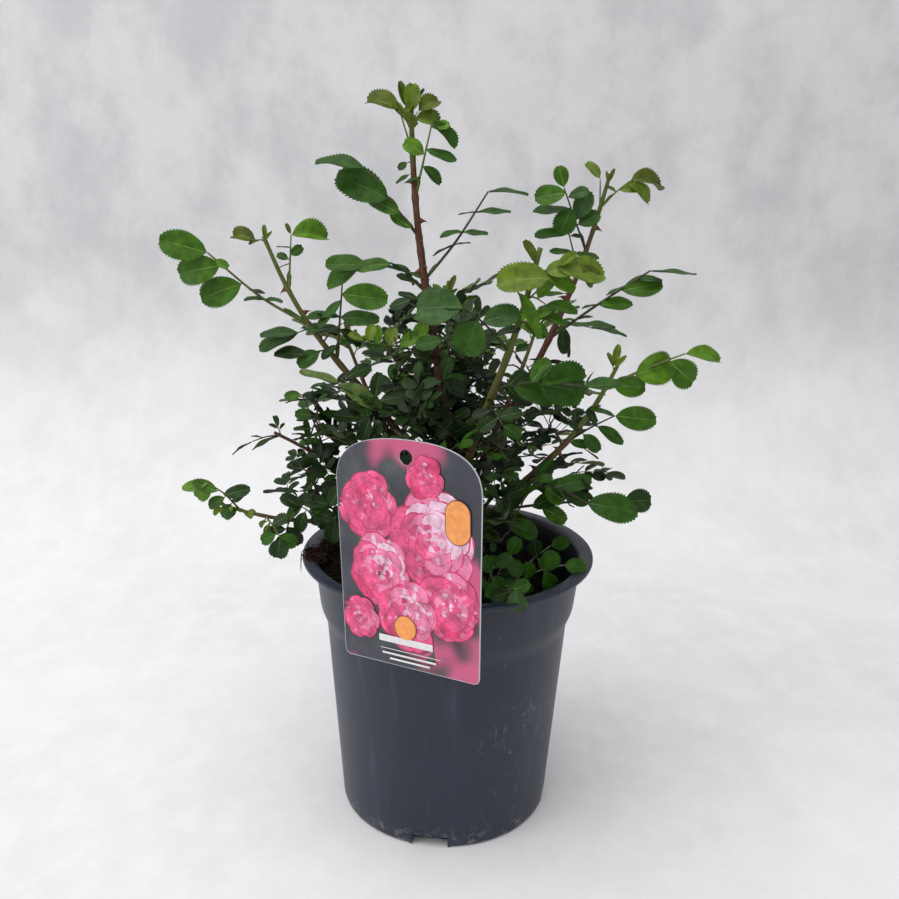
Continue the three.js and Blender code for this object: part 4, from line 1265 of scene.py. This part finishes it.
# More leaves of the same kind, at a place along a cane: the young ones at its tip, and older ones below.
CANE_LEAVES = {
    "cane_tall": [
        set_leaf((-8, -3, 25), 0, (1, 148, 23, 0.62, 54, "bronze", "hood"),
            (0.94, -30, 12, 0.66, 64, "bronze", "fold"), (0.78, 60, 10, 0.5, 56, "young", "fold"),
            at=0.885),
        set_leaf((-3, -1, 6), 0, (1, 104, 15, 0.44, 62, "bronze", "fold"), at=0.955),
        set_leaf((0, -3, 5), 0, (1, 84, 16, 0.78, 70, "young", "fold"), at=0.945),
        set_leaf((4, -2, 6), 0, (1, 44, 15, 0.8, 60, "bronze", "arch"), at=0.95),
        set_leaf((2, -2, 2), 0, (1, 6, 18, 0.74, 50, "young", "arch"), at=0.95),
        set_leaf((-4, -2, 8), 0, (1, 130, 11, 0.6, 60, "young", "fold"), at=0.93),
        set_leaf((3, 0, 6), 0, (1, 62, 8, 0.34, 40, "deep"), at=0.97),
        set_leaf((-3, -1, 1), 0, (1, 214, 7, 0.7, 66, "leaf"), at=0.865),
        set_leaf((-2, -1, 0), 0, (1, 208, 10, 0.4, 30, "leaf"), at=0.845),
        set_leaf((-42, -18, -2), -5, (1, 150, 10, 0.62, 52, "young", "fold"),
            (0.9, 80, 11, 0.66, 60, "young", "wavy"), (0.8, 100, 12, 0.66, 60, "fresh", "wavy"),
            (0.62, 76, 12, 0.74, 60, "young", "wavy"), (0.5, 40, 13, 0.72, 56, "fresh", "wavy"),
            (0.3, 60, 14, 0.7, 50, "fresh", "wavy"), at=0.52),
        set_leaf((-10, -16, 6), 2, (1, 200, 14, 0.6, 40, "deep"), (0.7, -20, 17, 0.6, 50, "deep"),
            (0.6, 160, 13, 0.5, 30, "dusk"), (0.3, 20, 14, 0.56, 44, "leaf"), at=0.58),
        set_leaf((8, -20, 6), 2, (1, -30, 15, 0.66, 56, "deep"), (0.7, 190, 17, 0.62, 50, "leaf"),
            (0.6, 30, 14, 0.5, 30, "dusk"), (0.35, 220, 14, 0.6, 50, "deep"), at=0.5),
        set_leaf((2, -20, 8), 2, (1, 80, 14, 0.62, 56, "deep"), (0.8, 206, 16, 0.66, 56, "deep"),
            (0.7, -26, 16, 0.66, 56, "dusk"), (0.4, 10, 14, 0.56, 44, "leaf"), at=0.42),
        set_leaf((6, -20, 10), 2, (1, 230, 16, 0.62, 56, "deep"), (0.8, -50, 15, 0.66, 60, "deep"),
            (0.6, 170, 15, 0.56, 40, "dusk"), (0.5, 30, 14, 0.6, 46, "deep"), at=0.33),
        set_leaf((-26, -8, 6), 2, (1, 170, 17, 0.5, 34, "leaf"), (0.6, 20, 13, 0.6, 40, "deep"),
            (0.6, 220, 16, 0.5, 34, "deep"), (0.8, 80, 13, 0.5, 34, "leaf"), at=0.48),
    ],
    "cane_left": [
        set_leaf((0, -1, 1), 0, (1, 96, 9, 0.46, 60, "young", "fold"),
            (0.6, 62, 7, 0.4, 50, "young", "fold"), at=0.985),
        set_leaf((-12, -3, -2), 1, (1, 174, 22, 0.5, 34, "deep"), (0.4, 212, 17, 0.66, 58, "leaf"),
            at=0.68),
        set_leaf((-6, -14, -3), 1, (1, -26, 31, 0.46, 50, "pale", "fold"), (0.8, 166, 25, 0.32, 24, "pale"),
            (0.3, 30, 17, 0.6, 40, "deep"), at=0.6),
        set_leaf((6, -14, 2), 2, (1, 10, 18, 0.6, 50, "deep"), (0.6, 80, 16, 0.6, 50, "deep"),
            (0.5, 200, 18, 0.5, 40, "deep"), (0.3, -60, 15, 0.6, 50, "dusk"), at=0.52),
        set_leaf((-16, -10, 4), 2, (1, 176, 18, 0.6, 46, "deep"), (0.8, 100, 15, 0.64, 50, "leaf"),
            (0.7, 250, 16, 0.6, 50, "deep"), (0.4, 40, 15, 0.6, 50, "deep"), at=0.44),
        set_leaf((12, 4, 12), 2, (1, 2, 18, 0.42, 20, "blue"), (0.7, -24, 15, 0.44, 20, "deep"),
            (0.6, 160, 13, 0.44, 20, "leaf"), at=0.7),
    ],
    "cane_side_left": [
        set_leaf((-26, -6, 10), 2, (1, 206, 19, 0.34, 20, "deep"), (0.9, 178, 12, 0.3, 8, "dusk"),
            (0.6, 30, 15, 0.5, 40, "deep"), (0.55, 190, 15, 0.52, 36, "leaf"),
            (0.3, 60, 12, 0.6, 40, "deep"), at=0.6),
        set_leaf((-50, -6, 6), 3, (1, 179, 23, 0.32, 8, "dusk"), (0.9, 60, 9, 0.6, 50, "deep"),
            (0.86, 226, 12, 0.56, 50, "deep"), (0.6, 240, 15, 0.52, 46, "deep"),
            (0.58, 24, 14, 0.5, 40, "dusk"), (0.36, 250, 14, 0.62, 50, "deep"),
            (0.34, 64, 13, 0.6, 44, "deep"), at=0.45),
        set_leaf((12, -8, 12), 2, (1, 4, 18, 0.66, 46, "deep"), (0.7, 176, 15, 0.46, 30, "leaf"),
            (0.5, -20, 14, 0.6, 40, "deep"), at=0.8),
        set_leaf((8, -6, 24), 1, (1, 176, 14, 0.6, 60, "leaf"), (0.98, 10, 14, 0.5, 40, "leaf"),
            (0.7, -10, 11, 0.6, 50, "leaf"), (0.66, 178, 12, 0.4, 26, "deep"),
            (0.3, 96, 15, 0.3, 40, "leaf"), at=0.84),
        set_leaf((-12, -8, 2), 2, (1, 176, 17, 0.5, 36, "deep"), (0.8, 250, 15, 0.5, 50, "leaf"),
            (0.7, 60, 14, 0.56, 50, "deep"), at=0.7),
        set_leaf((-6, -10, 2), 2, (1, 190, 18, 0.6, 50, "deep"), (0.8, 100, 15, 0.6, 50, "deep"),
            (0.7, -60, 15, 0.64, 56, "dusk"), (0.4, 140, 15, 0.6, 50, "deep"), at=0.55),
    ],
    "cane_low_left": [
        set_leaf((-34, -5, 18), 3, (1, 228, 20, 0.44, 36, "leaf"), (0.94, 203, 12, 0.24, 4, "dusk"),
            (0.66, 80, 13, 0.66, 50, "deep"), (0.64, 264, 16, 0.6, 50, "deep"),
            (0.36, 74, 13, 0.6, 50, "deep"), (0.34, 250, 13, 0.66, 56, "low"), at=0.42),
        set_leaf((-2, -8, 6), 1, (1, 272, 15, 0.78, 60, "blue"), (0.6, 130, 12, 0.66, 50, "deep"), at=0.45),
        set_leaf((-8, -6, 12), 2, (1, 150, 14, 0.66, 50, "deep"), (0.7, 250, 15, 0.64, 54, "deep"),
            (0.6, 30, 13, 0.6, 44, "low"), at=0.6),
        set_leaf((-6, -10, 16), 2, (1, 170, 17, 0.6, 50, "deep"), (0.9, 60, 15, 0.64, 54, "deep"),
            (0.6, 200, 16, 0.6, 50, "dusk"), (0.5, -10, 15, 0.6, 50, "deep"), at=0.5),
        set_leaf((-16, -8, 8), 2, (1, 256, 17, 0.66, 60, "deep"), (0.9, 160, 16, 0.6, 50, "deep"),
            (0.6, 280, 16, 0.66, 60, "low"), (0.5, 90, 15, 0.6, 50, "deep"), at=0.4),
        set_leaf((-2, -6, -6), 1, (1, 250, 16, 0.66, 64, "deep"), (0.7, 190, 15, 0.5, 44, "deep"),
            (0.5, 300, 15, 0.66, 60, "dusk"), at=0.7),
    ],
    "cane_front": [
        set_leaf((12, -14, 15), 0, (1, 177, 29, 0.66, 58, "young", "wavy"), at=0.86),
        set_leaf((0, -1, -1), 0, (1, 116, 14, 0.52, 58, "bronze", "fold"), at=0.965),
        set_leaf((27, -4, 7), 2, (1, -46, 14, 0.76, 58, "bronze", "arch"),
            (0.52, -4, 27, 0.62, 52, "young", "wavy"), (0.2, 16, 20, 0.66, 50, "young", "wavy"),
            (0.2, -24, 20, 0.56, 52, "fresh", "wavy"), (0.5, 38, 12, 0.6, 44, "young", "fold"), at=0.93),
        set_leaf((10, -4, -4), 1, (1, -2, 19, 0.46, 40, "green", "wavy"),
            (0.5, 60, 15, 0.6, 50, "fresh", "wavy"), at=0.88),
        set_leaf((9, -4, 2), 1, (1, -8, 18, 0.46, 40, "green", "wavy"),
            (0.6, 190, 13, 0.5, 44, "fresh", "wavy"), at=0.82),
        set_leaf((-5, -8, 7), 0, (1, -58, 29, 0.34, 40, "fresh", "fold"), at=0.86),
        set_leaf((6, -6, 4), 0, (1, 30, 13, 0.5, 46, "fresh", "wavy"), (0.5, -30, 15, 0.6, 60, "green"),
            at=0.8),
        set_leaf((-16, -6, 20), 0, (1, 100, 15, 0.84, 70, "blue", "wavy"), at=0.16),
        set_leaf((-41, -32, 22), 2, (1, 100, 17, 0.86, 66, "dusk"), (0.98, 180, 16, 0.86, 66, "deep"),
            (0.96, 262, 16, 0.86, 66, "dusk"), (0.97, 0, 17, 0.86, 66, "deep"),
            (0.97, 40, 16, 0.8, 60, "dusk"), (0.8, 80, 15, 0.8, 60, "deep"),
            (0.8, -70, 15, 0.8, 60, "dusk"), (0.6, 90, 14, 0.7, 50, "deep"),
            (0.88, 168, 20, 0.86, 70, "dusk"), (0.84, 140, 19, 0.8, 66, "deep"), at=0.25),
        set_leaf((-25, -14, 24), 1, (1, 70, 15, 0.8, 62, "deep"), (0.9, 160, 17, 0.8, 64, "dusk"),
            (0.8, -10, 16, 0.8, 62, "deep"), at=0.25),
    ],
    "cane_right": [
        set_leaf((2, 0, 6), 0, (1, 72, 9, 0.36, 60, "bronze", "fold"),
            (0.9, 100, 8, 0.3, 50, "bronze", "fold"), at=0.955),
        set_leaf((-1, -1, 18), 0, (1, 122, 14, 0.52, 58, "young", "arch"), at=0.92),
        set_leaf((-8, -6, 25), 0, (1, 178, 21, 0.44, 42, "leaf"), (0.95, 8, 8, 0.6, 30, "deep"),
            (0.5, 175, 15, 0.46, 30, "leaf"), (0.5, -7, 16, 0.44, 26, "leaf"), at=0.77),
        set_leaf((-4, -3, 0), 0, (1, 178, 13, 0.44, 26, "leaf"), at=0.72),
        set_leaf((-4, -3, -1), 0, (1, 182, 13, 0.5, 32, "deep"), at=0.69),
    ],
    "cane_low_right": [
        set_leaf((-1, -1, 3), 0, (1, 78, 13, 0.46, 58, "young", "fold"),
            (0.9, 112, 9, 0.4, 50, "bronze", "fold"), (0.8, 54, 10, 0.4, 50, "young", "fold"), at=0.96),
        set_leaf((78, -14, 12), 2, (1, 4, 17, 0.9, 70, "deep"), (0.36, -28, 19, 0.6, 56, "green"),
            (0.3, 30, 18, 0.6, 50, "leaf"), (0.16, -70, 17, 0.66, 60, "leaf"),
            (0.1, 60, 16, 0.66, 56, "deep"), at=0.3),
        set_leaf((12, -14, 2), 2, (1, 2, 28, 0.52, 50, "leaf"), (0.4, 200, 18, 0.66, 56, "deep"),
            (0.6, 60, 18, 0.6, 50, "deep"), at=0.45),
        set_leaf((14, -16, 10), 2, (1, -20, 22, 0.6, 56, "leaf"), (0.5, 210, 18, 0.66, 56, "deep"),
            (0.6, 60, 18, 0.6, 50, "deep"), at=0.22),
    ],
}

BACK_LOOK = Look(breadth=0.62, jitter=0.09, stem=0.62)
BACK_PAIRS, BACK_END, BACK_TINTS = (14, 19, 22), 23, ("leaf", "green")

# Young leaves on the other canes' tips: how far up, azimuth, rise, length, pairs, end leaflet, breadth, tint.
TIP_LEAVES = {
    "cane_low_left": [(0.95, 250, 10, 17, (7,), 11, 0.6, "young"), (0.9, 300, 5, 14, (6,), 9, 0.7, "young")],
    "cane_side_left": [(0.97, 120, 50, 15, (6,), 10, 0.5, "deep")],
    "cane_back": [
        (0.985, 60, 70, 18, (8,), 12, 0.45, "bronze"), (0.96, 170, 45, 26, (9, 11), 14, 0.6, "young"),
        (0.94, 10, 35, 24, (9, 11), 14, 0.6, "young"), (0.99, 250, 75, 14, (), 12, 0.4, "young"),
    ],
    "cane_back_left": [
        (0.985, 120, 66, 18, (8,), 12, 0.45, "bronze"), (0.96, 220, 40, 24, (9, 11), 13, 0.6, "young"),
        (0.94, 60, 35, 22, (9,), 14, 0.6, "fresh"),
    ],
    "cane_back_right": [
        (0.985, 30, 66, 18, (8,), 12, 0.45, "bronze"), (0.96, -40, 40, 24, (9, 11), 13, 0.6, "young"),
        (0.94, 110, 35, 22, (9,), 14, 0.6, "fresh"),
    ],
}


def spray_frame(node, cane):
    """A spray's root on its cane, its tip, and its upper face's direction, read from its CAD solid."""
    corners = unique_vertices(node)
    index = cane.nearest(corners)
    root = cane.path[index]
    tip = corners[np.argmax(np.linalg.norm(corners - root, axis=1))]
    axis = unit(tip - root)
    flat = corners - corners.mean(axis=0)
    flat = flat - np.outer(flat @ axis, axis)
    _, axes = np.linalg.eigh(flat.T @ flat)
    normal = square_to(axes[:, 1], axis)
    if normal @ np.array((0.0, -0.35, 1.0)) < 0:
        normal = -normal
    return index, root, tip, normal


def placed_leaf(root, leaf, rng, stalk=None):
    """A leaf whose leaflets are each given one by one."""
    end = root + np.array(leaf["end"], float)
    reach = np.linalg.norm(end - root)
    tints = [leaflet[5] for leaflet in leaf["leaflets"]]
    pale = any(tint in ("fresh", "young", "bronze") for tint in tints)
    kind = stalk or ("green" if pale else "dark")
    path, t = smooth_path([root, (root + end) / 2 + UP * leaf["bow"], end], max(1.0, reach / 14))
    add_tube(stalks[kind], path, (0.42 + 0.006 * reach) * (1.2 - 0.55 * t), 6)
    for place, angle, length, breadth, face, tint, *held in leaf["leaflets"]:
        fold, curl = HELD[held[0] if held else "flat"]
        teeth = int(np.clip(round(length * 0.58), 5, 15))
        look = Look(tint=tint, breadth=breadth, teeth=teeth, fold=fold, curl=curl)
        i = int(round(place * (len(path) - 1)))
        a, f = math.radians(angle + rng.normal() * 1.5), math.radians(face)
        way = unit(np.array((math.cos(a), 0.0, math.sin(a))) + rng.normal(size=3) * 0.03)
        normal = UP * math.cos(f) + FRONT * math.sin(f) + rng.normal(size=3) * 0.05
        forward = min(length * breadth / 2 * math.cos(f), 3.6) + 1.4
        base = path[i] + way * 0.5 + FRONT * forward * math.sin(f) * (place < 0.95)
        if place < 0.95:
            add_tube(stalks[kind], np.stack((path[i], (path[i] + base) / 2, base + way)), 0.34, 4)
        add_leaflet(base, way, normal, length, look, rng)
    way = unit(path[1] - path[0])
    if "wings" in leaf or reach > 30:
        add_stipules(root + way, way, square_to(UP + FRONT * 0.6, way), leaf.get("wings", 9), "green")


def make_sprays(canes, rng):
    """The leaves that stand clear of the rest: the sprays, more along the canes, and the canes' tips."""
    for node in sorted(n for n in NODES if n.startswith("spray_")):
        owner = max((c for c in canes if node[6:].startswith(c[5:])), key=len)
        cane = canes[owner]
        index, root, tip, normal = spray_frame(node, cane)
        leaf = FRONT_LEAVES.get(node)
        if leaf:
            index = cane.at(leaf["at"]) if "at" in leaf else index
            placed_leaf(cane.path[index], leaf, rng)
        elif node.startswith("spray_back"):
            scale = min(1.0, np.linalg.norm(tip - root) / (BACK_END * 1.9))
            pairs = [size * scale for size in BACK_PAIRS]
            compound_leaf(root, tip, normal, pairs, BACK_END * scale, BACK_LOOK, rng, BACK_TINTS)
            way = unit(tip - root)
            add_stipules(root + way * cane.radii[index] * 0.8, way, square_to(normal, way), 9, "green")
        cane.joints.append(cane.t[index] * cane.length)
    for name, leaves in CANE_LEAVES.items():
        cane = canes[name]
        for leaf in leaves:
            placed_leaf(cane.path[cane.at(leaf["at"])], leaf, rng)
    for name, leaves in TIP_LEAVES.items():
        cane = canes[name]
        for t, azimuth, rise, length, pairs, end, breadth, tint in leaves:
            i = cane.at(t)
            way = heading(azimuth, rise)
            normal = square_to(-heading(azimuth) if rise > 60 else UP + FRONT * 0.25, way)
            look = Look(breadth=breadth, teeth=7, fold=0.62, curl=0.55 if rise < 60 else 0.15, stem=0.5,
                        stalk="green", cup=0.35, spread=42, jitter=0.12, petiole=0.5)
            root = cane.path[i] + square_to(way, cane.ways[i]) * cane.radii[i] * 0.6
            compound_leaf(root, root + way * length, normal, pairs, end, look, rng, (tint,))


# ---------------------------------------------------------------- the dense middle

# The shoots that reach into each mass: how many, their leaflets' least and greatest length, and breadth over
# length, the tints to draw from, and how far their ellipsoid is moved from the mass's middle.
# The middle draws mostly on the darkest tints, whose darkness is partly painted shade.
MASSES = [
    ("leaves_heart", 44, (9, 14), 0.58, ("dusk", "deep", "deep", "leaf"), (0, 0, 0)),
    ("leaves_heart_front", 15, (10, 15), 0.66, ("deep", "leaf", "dusk"), (0, 0, 0)),
    ("leaves_heart_right", 13, (11, 15), 0.60, ("deep", "dusk", "deep"), (0, 0, 0)),
    ("leaves_heart_left", 18, (9, 14), 0.50, ("deep", "leaf", "dusk", "deep"), (0, 0, 0)),
    ("leaves_heart_back", 32, (10, 15), 0.58, ("deep", "leaf", "green"), (0, 0, 0)),
    ("leaves_heart_top", 20, (9, 14), 0.50, ("leaf", "deep", "deep", "dusk"), (0, 0, 0)),
    ("leaves_heart_top", 12, (9, 13), 0.52, ("deep", "dusk"), (8, -22, -34)),
    ("leaves_skirt_left", 6, (8, 12), 0.50, ("deep", "dusk"), (12, 8, 8)),
    ("leaves_skirt_right", 3, (10, 14), 0.66, ("leaf", "deep"), (-12, 6, 14)),
    ("leaves_heart_back", 14, (11, 15), 0.62, ("deep", "dusk"), (-6, -12, -16)),
    ("leaves_heart", 14, (11, 15), 0.66, ("dusk", "deep"), (0, 12, -14)),
]

# The low leaves over the soil: each leaf's root, and the rest as above.
CLUMP_LEAVES = [
    ((36, -30, 158), set_leaf((36, -4, 23), 5, (1, -8, 14, 0.82, 46, "low"),
        (0.72, 66, 14, 0.86, 48, "low"), (0.72, -58, 14, 0.8, 52, "low"), (0.42, 84, 11, 0.86, 46, "low"),
        (0.42, -80, 10, 0.8, 50, "low"))),
    ((30, -38, 158), set_leaf((6, -22, 20), 4, (1, 244, 12, 0.84, 54, "low"),
        (0.8, 196, 12, 0.82, 48, "low"), (0.8, -24, 13, 0.8, 50, "low"), (0.46, 36, 11, 0.84, 46, "leaf"))),
    ((28, -26, 158), set_leaf((10, -16, 32), 3, (1, 70, 12, 0.82, 50, "low"),
        (0.8, 170, 11, 0.84, 46, "low"), (0.8, -20, 12, 0.82, 46, "leaf"),
        (0.5, 10, 11, 0.84, 44, "deep"))),
    ((40, -22, 158), set_leaf((26, 12, 26), 4, (1, 20, 12, 0.84, 44, "low"),
        (0.7, 100, 12, 0.84, 42, "deep"), (0.7, -40, 12, 0.82, 46, "low"),
        (0.4, 150, 10, 0.84, 46, "low"))),
    ((24, -36, 158), set_leaf((4, -18, 30), 3, (1, 30, 12, 0.8, 50, "leaf"),
        (0.8, 110, 12, 0.84, 46, "low"), (0.7, -50, 12, 0.82, 52, "low"), (0.5, 180, 11, 0.84, 46, "low"))),
    ((32, -40, 158), set_leaf((7, -44, 29), 3, (1, 276, 14, 0.86, 72, "blue"),
        (0.75, 30, 12, 0.72, 56, "low"), (0.7, 200, 12, 0.76, 60, "deep"))),
]
# How far past its ellipsoid a mass's leaves may reach, the middle of the crown, the share of its leaves that
# are fresh, and how far they stay from the soil and from the pot.
LEAF_REACH, CROWN_MIDDLE, FRESH_SHARE = 1.3, np.array((0, 5, 190.0)), 0.03
SOIL_GAP, POT_GAP = 3, 4


class Wood:
    """Every point that a new shoot may leave from, with the way the wood runs there."""

    def __init__(self):
        self.points, self.ways = np.empty((0, 3)), np.empty((0, 3))

    def add(self, path):
        self.points = np.vstack((self.points, path))
        self.ways = np.vstack((self.ways, directions(path)))

    def start_for(self, target):
        """The wood nearest to a target, where wood that stands above it counts as further off."""
        gaps = np.linalg.norm(self.points - target, axis=1)
        gaps = gaps + 0.9 * np.clip(self.points[:, 2] - target[2] + 6, 0, None)
        i = int(np.argmin(gaps))
        return self.points[i], self.ways[i]


class Mass:
    """A part of the crown, as the ellipsoid in its CAD solid's box."""

    def __init__(self, node, shift):
        low, high = (np.array(corner) * 1000 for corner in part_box(node))
        self.middle, self.half = (low + high) / 2 + shift, (high - low) / 2

    def holds(self, point):
        return np.linalg.norm((point - self.middle) / self.half) < LEAF_REACH

    def spread(self, count, rng):
        """Places spread evenly through the mass."""
        tries = rng.normal(size=(count * 30, 3))
        tries *= (rng.random(count * 30) ** (1 / 2.6) / np.linalg.norm(tries, axis=1))[:, None]
        chosen = [tries[0]]
        for _ in range(count - 1):
            gaps = np.min([np.linalg.norm(tries - c, axis=1) for c in chosen], axis=0)
            chosen.append(tries[int(np.argmax(gaps * rng.uniform(0.8, 1, len(tries))))])
        return self.middle + np.array(chosen) * self.half * 0.95


def meets_label(place, start, end, margin=5.0):
    """Whether the line from start to end goes through the label or comes close to its back."""
    a, b = place.local(start), place.local(end)
    if a[2] < -margin and b[2] < -margin:
        return False
    gap = a[2] - b[2]
    t = np.clip((a[2] + margin) / gap, 0, 1) if abs(gap) > 1e-6 else 1.0
    for point in (a + (b - a) * t, b):
        if abs(point[0]) < LABEL["width"] / 2 + margin and -margin < point[1] < LABEL["height"] + margin:
            return point[2] > -margin - 0.1
    return False


def clear_of_pot(point):
    """Whether a leaf that reaches this point stays out of the soil and the pot's wall."""
    radius = math.hypot(point[0], point[1])
    if radius < POT["collar_foot"]:
        return point[2] > soil_height(point[0], point[1]) + SOIL_GAP
    return radius > POT["rim"] + POT_GAP or point[2] > POT["height"] + POT_GAP


def grow_mass(node, shoots, lengths, breadth, tints, shift, wood, place, rng):
    """Shoots branch off the nearest wood towards places spread through the mass, and bear leaves."""
    mass = Mass(node, np.array(shift, float))
    targets = mass.spread(shoots, rng)
    order = np.argsort(np.linalg.norm(targets - CROWN_MIDDLE, axis=1))
    for target in targets[order]:
        start, wood_way = wood.start_for(target)
        gap = np.linalg.norm(target - start)
        if gap < 4 or meets_label(place, start, target, 3.0):
            continue
        outward = unit((target - CROWN_MIDDLE) * (1, 1, 0.5))
        leave = unit(wood_way * 0.5 + unit(target - start) + UP * 0.25)
        arrive = unit(unit(target - start) + outward * 0.5 + UP * 0.45 + rng.normal(size=3) * 0.2)
        pull = gap * 0.35
        curve = bezier(start, start + leave * pull, target - arrive * pull, target, 10)
        path, _ = resample(curve, 4.0)
        path[1:] += rng.normal(size=(len(path) - 1, 3)) * 0.35
        thick = min(1.15, 0.55 + gap * 0.010)
        add_tube(twigs, path, np.linspace(thick, 0.42, len(path)), 5)
        wood.add(path)
        ways = directions(path)
        turn = rng.uniform(0, 360)
        leaves = int(np.clip(round(gap / 11), 2, 5))
        for k in range(leaves + 1):
            t = 1.0 if k == leaves else 0.25 + 0.7 * (k + rng.uniform(0.2, 0.8)) / leaves
            i = int(round(t * (len(path) - 1)))
            turn += GOLDEN_ANGLE
            spoke = square_to(heading(turn, rng.uniform(-20, 20)), ways[i])
            aside, ahead = (0.6, 1.55) if k == leaves else (1.1, 0.6)
            way = unit(spoke * aside + ways[i] * ahead + outward * 0.4 + UP * 0.18)
            size = rng.uniform(*lengths)
            tint = tints[int(rng.integers(len(tints)))]
            if rng.random() < FRESH_SHARE:
                tint, size = "fresh", size * 0.8
            count = int(rng.integers(2, 4))
            tip = path[i] + way * size * (1.5 + 0.55 * count)
            if not mass.holds(tip) or meets_label(place, path[i], tip) or not clear_of_pot(tip):
                continue
            look = Look(tint=tint, breadth=breadth * rng.uniform(0.8, 1.15), teeth=0, columns=5,
                        fold=0.22, curl=0.3, jitter=0.17, stem=0.32, cup=0.1, blunt=0.85)
            normal = UP + 0.3 * outward + rng.normal(size=3) * 0.34
            ranges = [(0.72, 0.86)] + [(0.86, 1.0)] * (count - 1)
            pairs = [size * rng.uniform(*span) for span in ranges]
            compound_leaf(path[i], tip, normal, pairs, size * rng.uniform(1.0, 1.2), look, rng)


def make_middle(canes, place, rng):
    """The shoots of the dense middle, and the low leaves over the soil."""
    wood = Wood()
    for cane in canes.values():
        part = cane.path[(cane.t > 0.05) & (cane.t < 0.82)]
        wood.add(part[::3])
    for mass in MASSES:
        grow_mass(*mass, wood, place, rng)
    for root, leaf in CLUMP_LEAVES:
        placed_leaf(np.array(root, float), leaf, rng, stalk="pale")


def make_foliage_pieces():
    """The leaves, by tint, their stalks, veins and twigs. The first piece stands for all the CAD's leaves."""
    nodes = sorted(n for n in NODES if n.startswith(("spray_", "leaves_")))
    first = True
    for tint, (above, below, rough) in TINTS.items():
        upper = mottled("leaf_" + tint, above, rough, 0.21, 190, 0.18, 0.11, 420)
        lower = mottled("leaf_under_" + tint, below, 0.65, 0.3, 120, 0.10, 0.05, 900)
        if tops[tint].count:
            tops[tint].piece("leaves_above_" + tint, upper, "foliage", nodes if first else ())
            undersides[tint].piece("leaves_below_" + tint, lower, "foliage")
            first = False
    stalk_shades = dict(dark=(66, 60, 42), green=(96, 106, 52), pale=(124, 128, 98))
    vein_shades = dict(dim=(84, 112, 58), bright=(116, 146, 72))
    for kind, batches, shades in (("stalks_", stalks, stalk_shades), ("veins_", veins, vein_shades)):
        for name, batch in batches.items():
            if batch.count:
                shade = mottled(kind + name, shades[name], 0.5, 0.4, 300, 0.2, 0.05)
                batch.piece(kind + name, shade, "foliage")
    twigs.piece("twigs", mottled("twig_bark", (66, 54, 40), 0.6, 0.35, 200, 0.3, 0.15), "cane_bark")


# ---------------------------------------------------------------- everything together

make_camera()
make_stage()
make_lights()
make_pot()
make_soil()
label_place = LabelFrame()
make_label(label_place)
all_canes = {name: Cane(name) for name in CANE_LOOKS}
make_sprays(all_canes, np.random.default_rng(31))
make_middle(all_canes, label_place, np.random.default_rng(47))
make_canes(all_canes)
make_crown()
make_foliage_pieces()
